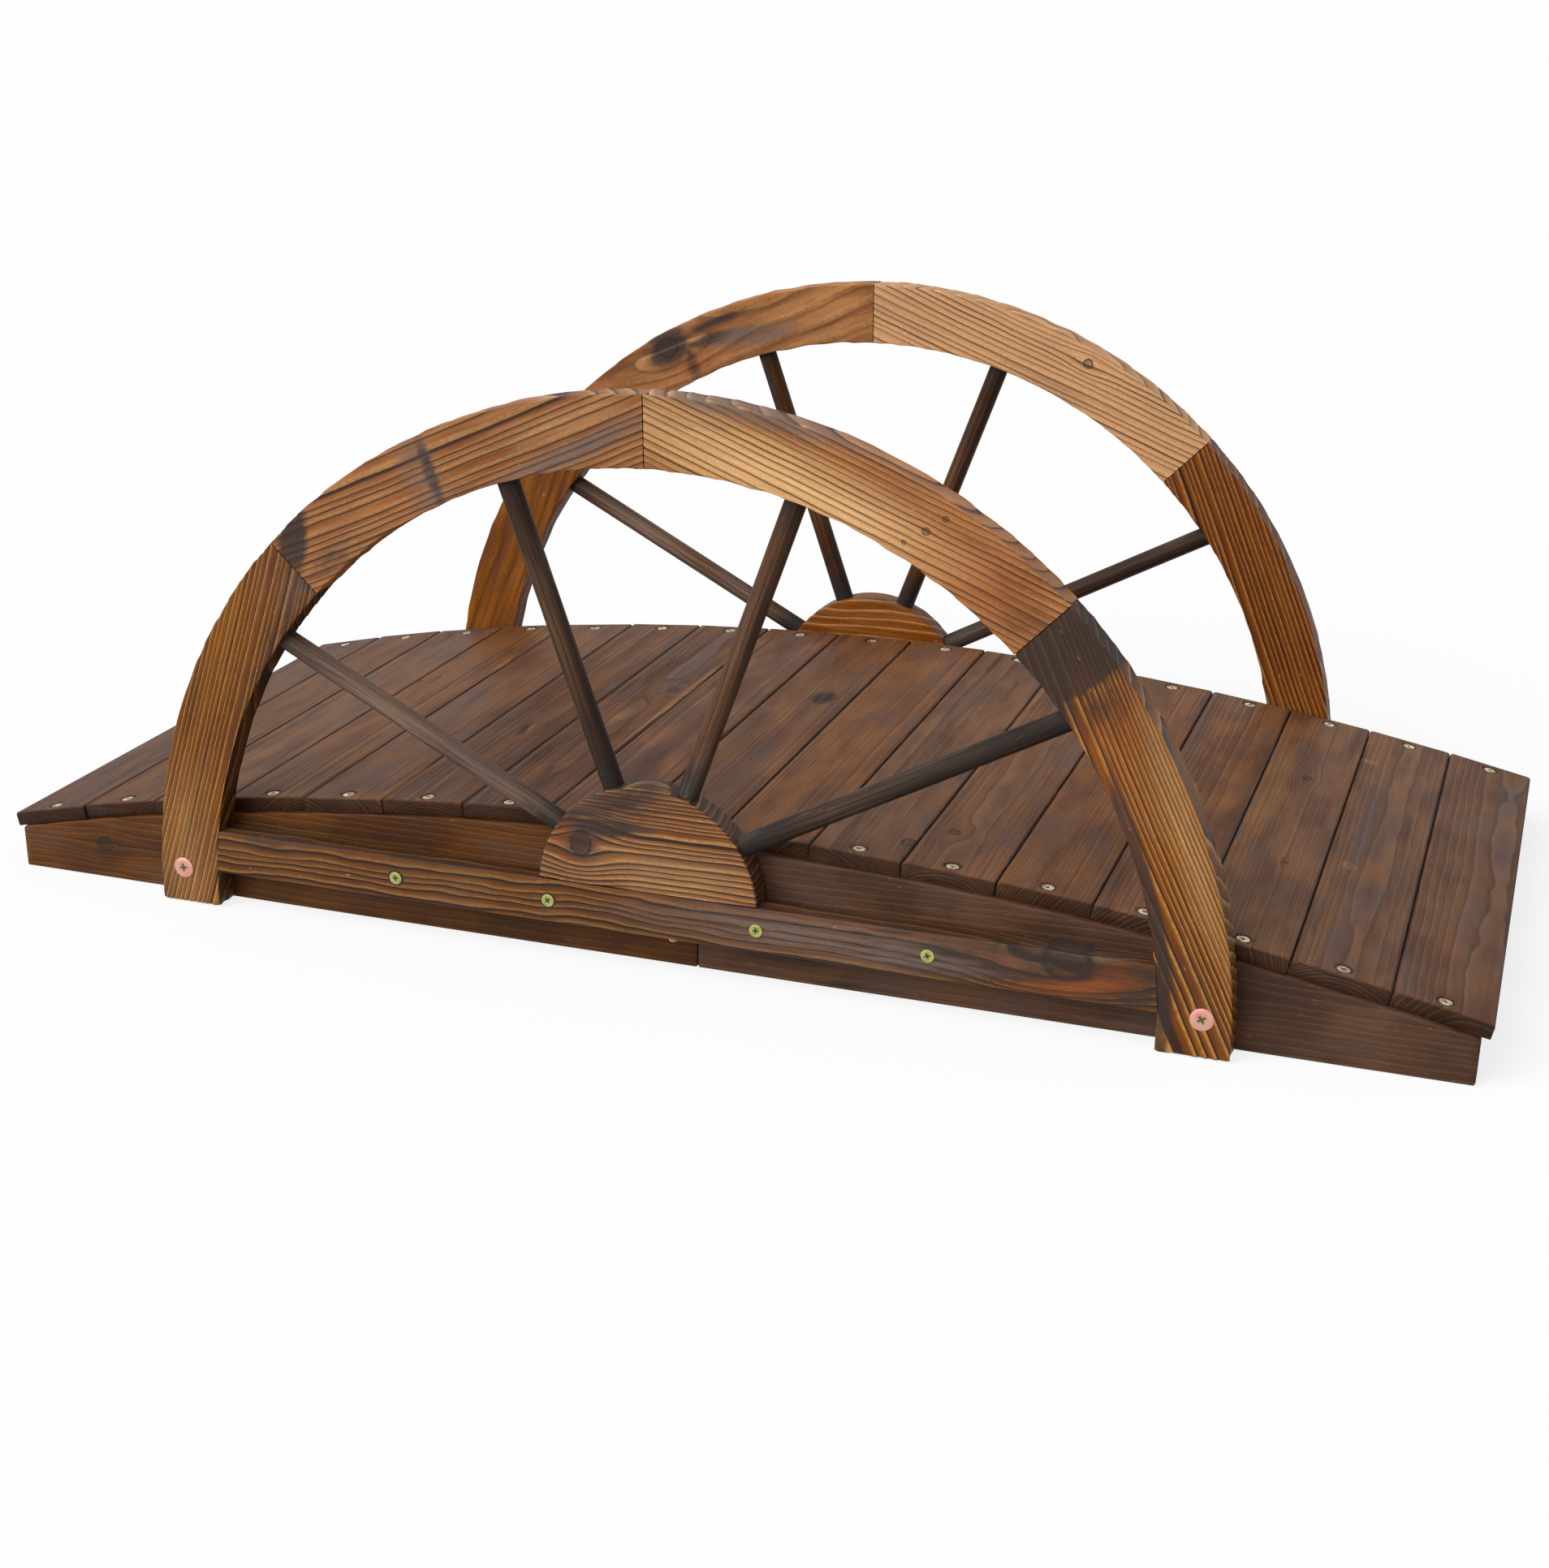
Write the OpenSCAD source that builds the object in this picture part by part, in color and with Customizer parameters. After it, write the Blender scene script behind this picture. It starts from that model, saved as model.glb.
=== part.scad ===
// Low arched garden footbridge of dark stained fir.
// Flat deck boards lie across two arch-topped stringers, and a half wagon wheel stands on each side as a railing.
// Lengths are in millimetres. X runs along the bridge, Y across it, Z up, with the ground at z = 0 under mid-span.
// The near side is -Y, and left is -X.

/* [Deck] */
// Number of boards laid across the bridge
board_count = 17; // [15:2:21]
// Width of one board along the bridge
board_w = 88; // [80:1:100]
// Open seam between the undersides of neighbouring boards
board_gap = 0.6; // [0.4:0.1:4]
// Thickness of a board
board_t = 15; // [12:0.5:24]
// Radius of the eased edges along the top of a board
board_edge_r = 3; // [1:0.5:5]
// How far a board's end stops short of the stringer's outer face
board_inset = 4; // [1:0.5:10]
// How far the end boards reach past the ends of the stringers
deck_overhang = 7; // [2:0.5:20]

/* [Stringers] */
// Width of the bridge over the outer faces of its stringers
frame_w = 680; // [520:5:900]
// Thickness of a stringer
stringer_t = 30; // [20:1:45]
// Height of a stringer at its ends
stringer_end_h = 44; // [36:1:70]
// Radius of the arch sawn along the top of the stringers
arch_r = 3325; // [2800:25:4500]
// Place along the bridge of the butt joint between the two halves of a stringer
joint_x = 25; // [-40:1:40]

/* [Splice blocks] */
// Length of the block that joins the halves of a stringer on its inner face
splice_l = 220; // [140:5:320]
// Height of the block
splice_h = 80; // [50:1:90]
// Thickness of the block
splice_t = 28; // [18:1:40]
// Height of the block's underside over the ground
splice_lift = 12; // [4:1:24]

/* [Half wheels] */
// Outer radius of the rim
rim_r = 545; // [500:5:580]
// Width of the rim, measured along its radius
rim_w = 70; // [55:1:90]
// Thickness of the rim, the hub and the base rail
wheel_t = 30; // [26:1:40]
// Height of the rim's centre over the ground
rim_centre_h = 10; // [0:1:30]
// Dark open line at the mitred joints between rim segments
felloe_gap = 0.4; // [0.2:0.1:1]
// Angle by which the mitred joints are turned about the wheel's centre
mitre_turn = 0.8; // [-3:0.1:3]
// Place along the bridge of the centre of both wheels
wheel_x = -8; // [-20:1:20]

/* [Hubs, spokes and base rails] */
// Radius of the half-round hub's edge
hub_r = 111; // [95:1:125]
// How far the centre of that edge lies below the top of the base rail
hub_drop = 7; // [0:1:20]
// How far the near hub and its spokes are set along the base rail from the wheel's centre
near_hub_shift = -8; // [-20:1:20]
// Diameter of a spoke
spoke_d = 21; // [18:0.5:26]
// Diameter of the tenons at both ends of a spoke
tenon_d = 15; // [10:0.5:17]
// Depth of the sockets bored for the tenons
socket_depth = 16; // [8:1:30]
// Angle of the two lower spokes over the base rail
low_spoke_angle = 28; // [24:0.5:34]
// Height over the base rail of the point where the axes of the two lower spokes meet
low_spoke_rise = 5; // [0:1:10]
// Angle of the two upper spokes over the base rail
high_spoke_angle = 70.5; // [60:0.5:78]
// Height over the base rail of the point where the axes of the two upper spokes meet
high_spoke_rise = -8; // [-20:1:10]
// Height of a base rail
rail_h = 46; // [36:1:60]
// Height of a base rail's underside over the ground
rail_lift = 38; // [24:1:50]

/* [Fits] */
// Clearance round a tenon, at a spoke's shoulders and at the rounded ends of a base rail
wood_fit = 0.2; // [0.1:0.05:0.4]
// Clearance between the underside of a board and the crest of the arch below it
board_seat = 0.1; // [0.05:0.05:0.4]

/* [Hidden] */
$fn = 96;
arch_fn = 720;
LEFT_TO_RIGHT = ["1", "2", "3", "4"];
SEGMENTS = ["right_lower", "right_upper", "left_upper", "left_lower"];
SIDES = ["near", "far"];
HALVES = ["left", "right"];

wheel_amber = [0.50, 0.29, 0.12];
deck_brown = [0.26, 0.15, 0.09];
stringer_brown = [0.33, 0.19, 0.11];
spoke_grey = [0.22, 0.16, 0.12];

// Boards sit on the arch, so their pitch is an angle about its centre
seat_r = arch_r + board_seat;
board_step = (board_w + board_gap) / seat_r * 180 / PI;
deck_half_angle = board_count * board_step / 2;
board_l = frame_w - 2 * board_inset;
stringer_half_l = seat_r * sin(deck_half_angle) - deck_overhang;
arch_z = stringer_end_h - sqrt(pow(arch_r, 2) - pow(stringer_half_l, 2));

rim_inner_r = rim_r - rim_w;
felloe_angle = 180 / len(SEGMENTS);
rail_top = rail_lift + rail_h;
hub_z = rail_top - hub_drop;
spoke_angles = [180 - low_spoke_angle, 180 - high_spoke_angle, high_spoke_angle, low_spoke_angle];
spoke_rises = [low_spoke_rise, high_spoke_rise, high_spoke_rise, low_spoke_rise];
past = 20;

function board_name(i) = str("deck_board_", i < 9 ? "0" : "", i + 1);
function stringer_name(s, h) = str(SIDES[s], "_stringer_", HALVES[h]);
function splice_name(s) = str(SIDES[s], "_splice_block");
function rim_name(s, k) = str(SIDES[s], "_rim_", SEGMENTS[k]);
function spoke_name(s, k) = str(SIDES[s], "_spoke_", LEFT_TO_RIGHT[k]);
function hub_name(s) = str(SIDES[s], "_hub");
function rail_name(s) = str(SIDES[s], "_base_rail");

// Lowest y of the stringer, the splice block and the wheel on a side
function stringer_y(s) = s == 0 ? -frame_w / 2 : frame_w / 2 - stringer_t;
function splice_y(s) = s == 0 ? -frame_w / 2 + stringer_t : frame_w / 2 - stringer_t - splice_t;
function wheel_y(s) = s == 0 ? -frame_w / 2 - wheel_t : frame_w / 2;
function hub_x(s) = wheel_x + (s == 0 ? near_hub_shift : 0);

// Distance along an axis at an angle, from a point dx, dz off a circle's centre, out to that circle
function reach_to(r, dx, dz, angle) =
    let (along = dx * cos(angle) + dz * sin(angle))
    sqrt(pow(along, 2) - pow(dx, 2) - pow(dz, 2) + pow(r, 2)) - along;

// Distances along a spoke's axis, from the point where it crosses the hub's middle, to the hub's edge and the rim
function root_z(k) = rail_top + spoke_rises[k];
function hub_reach(k) = reach_to(hub_r, 0, root_z(k) - hub_z, spoke_angles[k]);
function rim_reach(s, k) =
    reach_to(rim_inner_r, hub_x(s) - wheel_x, root_z(k) - rim_centre_h, spoke_angles[k]);

// A plate of thickness t standing across Y, from a profile drawn in X and Z
module standing_plate(y_low, t) {
    translate([0, y_low + t, 0])
        rotate([90, 0, 0])
            linear_extrude(t)
                children();
}

// A round bar on a spoke's axis, between two distances along it
module spoke_bar(s, k, d, from, to) {
    translate([hub_x(s), wheel_y(s) + wheel_t / 2, root_z(k)])
        rotate([0, 90 - spoke_angles[k], 0])
            translate([0, 0, from])
                cylinder(d = d, h = to - from);
}

module hub_sockets(s) {
    for (k = [0:len(spoke_angles) - 1])
        spoke_bar(s, k, tenon_d + 2 * wood_fit, hub_reach(k) - socket_depth, hub_reach(k) + past);
}

module rim_sockets(s) {
    for (k = [0:len(spoke_angles) - 1])
        spoke_bar(s, k, tenon_d + 2 * wood_fit, rim_reach(s, k) - past, rim_reach(s, k) + socket_depth);
}

// Section of a board: a flat underside and two eased top edges
module board_section() {
    inner_w = board_w - 2 * board_edge_r;
    translate([-board_w / 2, 0])
        square([board_w, board_t - board_edge_r]);
    translate([-inner_w / 2, 0])
        square([inner_w, board_t]);
    for (x = [-inner_w / 2, inner_w / 2])
        translate([x, board_t - board_edge_r])
            circle(r = board_edge_r);
}

module deck_board(i) {
    color(deck_brown)
        translate([0, 0, arch_z])
            rotate([0, (i - (board_count - 1) / 2) * board_step, 0])
                translate([0, 0, seat_r])
                    standing_plate(-board_l / 2, board_l)
                        board_section();
}

// One half of a stringer: flat on the ground, with the arch along its top
module stringer_half(s, h) {
    from = h == 0 ? -stringer_half_l : joint_x;
    to = h == 0 ? joint_x : stringer_half_l;
    color(stringer_brown)
        standing_plate(stringer_y(s), stringer_t)
            intersection() {
                translate([0, arch_z])
                    circle(r = arch_r, $fn = arch_fn);
                translate([from, 0])
                    square([to - from, arch_z + arch_r + past]);
            }
}

module splice_block(s) {
    color(stringer_brown)
        translate([joint_x - splice_l / 2, splice_y(s), splice_lift])
            cube([splice_l, splice_t, splice_h]);
}

// Wedge that holds one rim segment, clear of half a joint line at each mitre
module felloe_wedge(k) {
    reach = 2 * rim_r;
    from = k == 0 ? -felloe_angle : k * felloe_angle + mitre_turn;
    to = k == len(SEGMENTS) - 1 ? 180 + felloe_angle : (k + 1) * felloe_angle + mitre_turn;
    middle = (from + to) / 2;
    clear = felloe_gap / 2 / sin((to - from) / 2);
    translate([clear * cos(middle), clear * sin(middle)])
        polygon([
            [0, 0],
            [reach * cos(from), reach * sin(from)],
            [reach * cos(middle), reach * sin(middle)],
            [reach * cos(to), reach * sin(to)],
        ]);
}

// One rim segment: the lowest two run on past the wheel's centre and stand on the ground
module rim_felloe(s, k) {
    color(wheel_amber)
        difference() {
            standing_plate(wheel_y(s), wheel_t)
                intersection() {
                    translate([wheel_x, rim_centre_h])
                        intersection() {
                            difference() {
                                circle(r = rim_r, $fn = arch_fn);
                                circle(r = rim_inner_r, $fn = arch_fn);
                            }
                            felloe_wedge(k);
                        }
                    translate([wheel_x - 2 * rim_r, 0])
                        square([4 * rim_r, 2 * rim_r]);
                }
            rim_sockets(s);
        }
}

// A spoke's shoulders follow the hub's edge and the rim's inner face, and its tenons go into both
module spoke(s, k) {
    hub_end = hub_reach(k);
    rim_end = rim_reach(s, k);
    color(spoke_grey) {
        difference() {
            spoke_bar(s, k, spoke_d, hub_end - spoke_d / 2, rim_end + spoke_d / 2);
            standing_plate(wheel_y(s) - past, wheel_t + 2 * past)
                translate([hub_x(s), hub_z])
                    circle(r = hub_r + wood_fit, $fn = arch_fn);
            standing_plate(wheel_y(s) - past, wheel_t + 2 * past)
                translate([wheel_x, rim_centre_h])
                    difference() {
                        circle(r = rim_r, $fn = arch_fn);
                        circle(r = rim_inner_r - wood_fit, $fn = arch_fn);
                    }
        }
        spoke_bar(s, k, tenon_d, hub_end - socket_depth + wood_fit, rim_end + socket_depth - wood_fit);
    }
}

// Half-round hub that stands on the base rail
module hub(s) {
    color(wheel_amber)
        difference() {
            standing_plate(wheel_y(s), wheel_t)
                translate([hub_x(s), hub_z])
                    intersection() {
                        circle(r = hub_r, $fn = arch_fn);
                        translate([-hub_r - past, hub_drop])
                            square([2 * (hub_r + past), hub_r]);
                    }
            hub_sockets(s);
        }
}

// Rail between the feet of the rim, with ends sawn to the rim's inner face
module base_rail(s) {
    color(wheel_amber)
        standing_plate(wheel_y(s), wheel_t)
            intersection() {
                translate([wheel_x, rim_centre_h])
                    circle(r = rim_inner_r - wood_fit, $fn = arch_fn);
                translate([wheel_x - rim_r, rail_lift])
                    square([2 * rim_r, rail_h]);
            }
}

for (i = [0:board_count - 1])
    deck_board(i);
for (s = [0:1], h = [0:1])
    stringer_half(s, h);
for (s = [0:1])
    splice_block(s);
for (s = [0:1], k = [0:len(SEGMENTS) - 1])
    rim_felloe(s, k);
for (s = [0:1], k = [0:len(spoke_angles) - 1])
    spoke(s, k);
for (s = [0:1])
    hub(s);
for (s = [0:1])
    base_rail(s);
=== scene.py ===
"""Garden footbridge of charred and brushed fir, with a half wagon wheel on each side as a railing.

Shapes are worked in millimetres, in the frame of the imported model: X along the bridge, Y across it,
Z up, near side at -Y. They become metres when an object is made. Each piece of timber carries the
coordinates of the log that it was sawn from, so that its growth rings run through faces, edges and
end grain alike, in shape and in colour.
"""

import logging
import math
from collections.abc import Iterable, Sequence
from dataclasses import dataclass, field
from enum import Enum

import bmesh
import bpy
import numpy as np
from mathutils import Matrix, Vector, noise


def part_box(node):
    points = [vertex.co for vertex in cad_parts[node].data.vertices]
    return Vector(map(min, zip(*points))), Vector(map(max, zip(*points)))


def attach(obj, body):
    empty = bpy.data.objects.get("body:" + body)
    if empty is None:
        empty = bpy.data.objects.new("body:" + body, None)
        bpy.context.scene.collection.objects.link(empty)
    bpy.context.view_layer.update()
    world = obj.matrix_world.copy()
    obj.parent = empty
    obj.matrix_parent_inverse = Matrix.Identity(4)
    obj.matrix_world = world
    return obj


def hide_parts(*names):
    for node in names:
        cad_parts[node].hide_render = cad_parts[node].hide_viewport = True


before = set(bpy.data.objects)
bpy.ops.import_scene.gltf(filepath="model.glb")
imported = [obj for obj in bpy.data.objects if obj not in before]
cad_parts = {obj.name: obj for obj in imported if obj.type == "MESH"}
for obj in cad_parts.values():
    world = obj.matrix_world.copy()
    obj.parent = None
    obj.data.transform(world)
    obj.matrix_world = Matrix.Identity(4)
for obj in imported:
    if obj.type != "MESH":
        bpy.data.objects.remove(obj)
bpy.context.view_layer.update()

MM = 0.001
BODY = "root"
X_AXIS, Y_AXIS, Z_AXIS = Vector((1.0, 0.0, 0.0)), Vector((0.0, 1.0, 0.0)), Vector((0.0, 0.0, 1.0))
FACE_XZ = (0, 2)
FACE_XY = (0, 1)
SECTION_YZ = Matrix(((0, 0, 1, 0), (1, 0, 0, 0), (0, 1, 0, 0), (0, 0, 0, 1)))
SECTION_XZ = Matrix(((1, 0, 0, 0), (0, 0, -1, 0), (0, 1, 0, 0), (0, 0, 0, 1)))
log = logging.getLogger("footbridge")

Pair = tuple[float, float]
Triple = tuple[float, float, float]
Colour = tuple[float, float, float, float]
Inputs = dict[int | str, object]
Box = tuple[Vector, Vector]


def srgb(red: int, green: int, blue: int) -> Colour:
    """Turns a colour read off a screen, 0 to 255, into the linear one that a shader takes.

    Args:
        red: Red level.
        green: Green level.
        blue: Blue level.

    Returns:
        Linear red, green, blue and an alpha of 1.
    """
    levels = [level / 255 for level in (red, green, blue)]
    linear = [c / 12.92 if c <= 0.04045 else ((c + 0.055) / 1.055) ** 2.4 for c in levels]
    return (linear[0], linear[1], linear[2], 1.0)


def node_box(node: str) -> Box:
    """Lowest and highest corner of a CAD node, in millimetres."""
    low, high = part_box(node)
    return low / MM, high / MM


def edges_of(parts: Iterable[object]) -> list[bmesh.types.BMEdge]:
    """The edges among the parts that an operator gives back."""
    return [part for part in parts if isinstance(part, bmesh.types.BMEdge)]


def verts_of(parts: Iterable[object]) -> list[bmesh.types.BMVert]:
    """The vertices among the parts that an operator gives back."""
    return [part for part in parts if isinstance(part, bmesh.types.BMVert)]


class Side(Enum):
    """The two long sides of the bridge."""

    NEAR = "near"
    FAR = "far"


class Half(Enum):
    """The two halves of a stringer."""

    LEFT = "left"
    RIGHT = "right"


class MarkKind(Enum):
    """What fire, tools and weather left on the wood, and painted light and shade among it: charring marks
    also paint the shade in the deck's seams, greying scuffs are partly a painted sheen and gold marks
    partly painted highlights; the value is its channel in the marks attribute.
    """

    CHAR = 0
    SCUFF = 1
    GOLD = 2
    EMBER = 3


class Signal:
    """A value that a node gives; arithmetic on it adds Math nodes to the same tree."""

    def __init__(self, wiring: "Wiring", socket: bpy.types.NodeSocket) -> None:
        """Keeps the tree's wiring and the socket that gives the value."""
        self.wiring = wiring
        self.socket = socket

    def math(self, operation: str, *others: object) -> "Signal":
        """Result of a Math node on this value and others."""
        return self.wiring.value("ShaderNodeMath", 0, dict(enumerate((self, *others))), operation=operation)

    def __add__(self, other: object) -> "Signal":
        """Sum."""
        return self.math("ADD", other)

    def __sub__(self, other: object) -> "Signal":
        """Difference."""
        return self.math("SUBTRACT", other)

    def __mul__(self, other: object) -> "Signal":
        """Product."""
        return self.math("MULTIPLY", other)

    def or_more(self, other: object) -> "Signal":
        """The greater of two."""
        return self.math("MAXIMUM", other)

    def up_to(self, most: float) -> "Signal":
        """The value, or the most that it may be."""
        return self.math("MINIMUM", most)

    def split(self) -> list["Signal"]:
        """The three parts of a vector."""
        made = self.wiring.node("ShaderNodeSeparateXYZ", {0: self})
        return [Signal(self.wiring, output) for output in made.outputs]

    def noise(self, stretch: Triple, detail: float = 1.0, roughness: float = 0.5) -> "Signal":
        """Smooth noise of 0 to 1 at a place.

        Args:
            stretch: What the place's parts are multiplied by.
            detail: Number of octaves over the first.
            roughness: Share of each further octave.

        Returns:
            The noise value.
        """
        place = self.wiring.value("ShaderNodeVectorMath", 0, {0: self, 1: stretch}, operation="MULTIPLY")
        inputs = {"Vector": place, "Scale": 1.0, "Detail": detail, "Roughness": roughness}
        return self.wiring.value("ShaderNodeTexNoise", "Fac", inputs, noise_dimensions="3D")

    def noise_line(self, stretch: float) -> "Signal":
        """Smooth noise of 0 to 1 along one number."""
        inputs = {"W": self * stretch, "Scale": 1.0, "Detail": 0.0}
        return self.wiring.value("ShaderNodeTexNoise", "Fac", inputs, noise_dimensions="1D")

    def dice(self) -> "Signal":
        """A fixed value of 0 to 1 for each whole number."""
        return self.wiring.value("ShaderNodeTexWhiteNoise", "Value", {"W": self}, noise_dimensions="1D")

    def swing(self, reach: float) -> "Signal":
        """Noise of 0 to 1 turned into a swing of plus or minus the reach."""
        return self * (2 * reach) - reach

    def ramp(self, low: object, high: object, start: float = 0.0, end: float = 1.0) -> "Signal":
        """A smooth step from one level to another.

        Args:
            low: Value at which the step begins.
            high: Value at which it ends.
            start: Level before the step.
            end: Level after it.

        Returns:
            The level.
        """
        inputs = dict(enumerate((self, low, high, start, end)))
        return self.wiring.value("ShaderNodeMapRange", 0, inputs, interpolation_type="SMOOTHSTEP")

    def mix(self, first: object, second: object) -> "Signal":
        """A colour between two, where this value is the share of the second."""
        return self.wiring.value("ShaderNodeMix", 2, {0: self, 6: first, 7: second}, data_type="RGBA")


class Wiring:
    """Adds nodes to a shader or geometry tree and links them."""

    def __init__(self, tree: bpy.types.NodeTree) -> None:
        """Keeps the tree that the nodes go in."""
        self.tree = tree

    def feed(self, node: bpy.types.Node, inputs: Inputs) -> None:
        """Links signals into a node's inputs, or sets the inputs to plain values."""
        for key, value in inputs.items():
            if isinstance(value, Signal):
                self.tree.links.new(value.socket, node.inputs[key])
            else:
                node.inputs[key].default_value = value

    def node(self, kind: str, inputs: Inputs | None = None, **settings: object) -> bpy.types.Node:
        """Adds a node.

        Args:
            kind: Blender's name for the node type.
            inputs: What its inputs get, by number or name.
            settings: Properties to set on it.

        Returns:
            The new node.
        """
        made = self.tree.nodes.new(kind)
        for key, value in settings.items():
            setattr(made, key, value)
        self.feed(made, inputs or {})
        return made

    def value(
        self, kind: str, output: int | str, inputs: Inputs | None = None, **settings: object
    ) -> Signal:
        """Adds a node and gives one of its outputs.

        Args:
            kind: Blender's name for the node type.
            output: Number or name of the output.
            inputs: What its inputs get, by number or name.
            settings: Properties to set on it.

        Returns:
            The output's signal.
        """
        return Signal(self, self.node(kind, inputs, **settings).outputs[output])


@dataclass(frozen=True)
class Rings:
    """What the growth rings give at a point: signals of 0 to 1."""

    line: Signal
    crest: Signal
    weight: Signal
    height: Signal


def growth_rings(wood: Signal, knot: Signal) -> Rings:
    """Wires the growth rings, alike for colour and for relief.

    A ring rises to a hard crest, then drops at once into the soft wood of the next, which is dark: charred,
    and partly painted with the shade that falls into the groove.

    Args:
        wood: Place in the log: millimetres along the grain, then ring widths from the pith, twice.
        knot: Distance from the nearest knot in knot radii, the rings' shift round it and their waviness.

    Returns:
        The signals.
    """
    _, across, depth = wood.split()
    _, shift, waver = knot.split()
    wander = wood.noise((0.0042, 0.07, 0.07)).swing(1.3)
    ripple = wood.noise((0.019, 0.3, 0.3)).swing(0.42)
    reach = (across * across + depth * depth).math("SQRT")
    radius = reach + shift + (wander + ripple) * waver
    uneven = radius.noise_line(0.47).swing(0.4)
    spell = radius.noise_line(0.1).swing(1.1)
    age = radius + (uneven + spell)
    phase = age.math("FRACT")
    weight = age.math("FLOOR").dice()
    drop = phase.ramp(0.945, 1.0)
    fade = phase.ramp(0.0, weight * 0.24 + 0.16, 1.0, 0.0).or_more(phase.ramp(0.0, 0.7, 0.3, 0.0))
    crest = phase.ramp(0.55, 0.9) * phase.ramp(0.945, 1.0, 1.0, 0.0)
    height = phase.math("POWER", 1.4) * phase.ramp(0.74, 1.0, 1.0, 0.0)
    return Rings(drop.or_more(fade), crest, weight, height)


class ReliefTree:
    """Geometry nodes that brush the soft wood out between the hard crests of the rings."""

    def __init__(self) -> None:
        """Builds the tree once for all timber."""
        self.tree = bpy.data.node_groups.new("brushed_relief", "GeometryNodeTree")
        for way in ("INPUT", "OUTPUT"):
            self.tree.interface.new_socket("Geometry", in_out=way, socket_type="NodeSocketGeometry")
        wiring = Wiring(self.tree)
        kind = "GeometryNodeInputNamedAttribute"
        wood, knot, push = (
            wiring.value(kind, "Attribute", {"Name": name}, data_type="FLOAT_VECTOR")
            for name in ("wood", "knot", "push")
        )
        depth = growth_rings(wood, knot).height - 1.0
        offset = wiring.value("ShaderNodeVectorMath", 0, {0: push, "Scale": depth}, operation="SCALE")
        timber = wiring.value("NodeGroupInput", 0)
        carved = wiring.value("GeometryNodeSetPosition", 0, {"Geometry": timber, "Offset": offset})
        wiring.node("NodeGroupOutput", {0: carved})

    def carve(self, piece: bpy.types.Object) -> None:
        """Carves the relief into a piece's mesh and leaves no modifier on it."""
        piece.modifiers.new("relief", "NODES").node_group = self.tree
        graph = bpy.context.evaluated_depsgraph_get()
        carved = bpy.data.meshes.new_from_object(
            piece.evaluated_get(graph), preserve_all_data_layers=True, depsgraph=graph
        )
        piece.modifiers.clear()
        plain = piece.data
        piece.data = carved
        bpy.data.meshes.remove(plain)
        carved.name = piece.name


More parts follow.
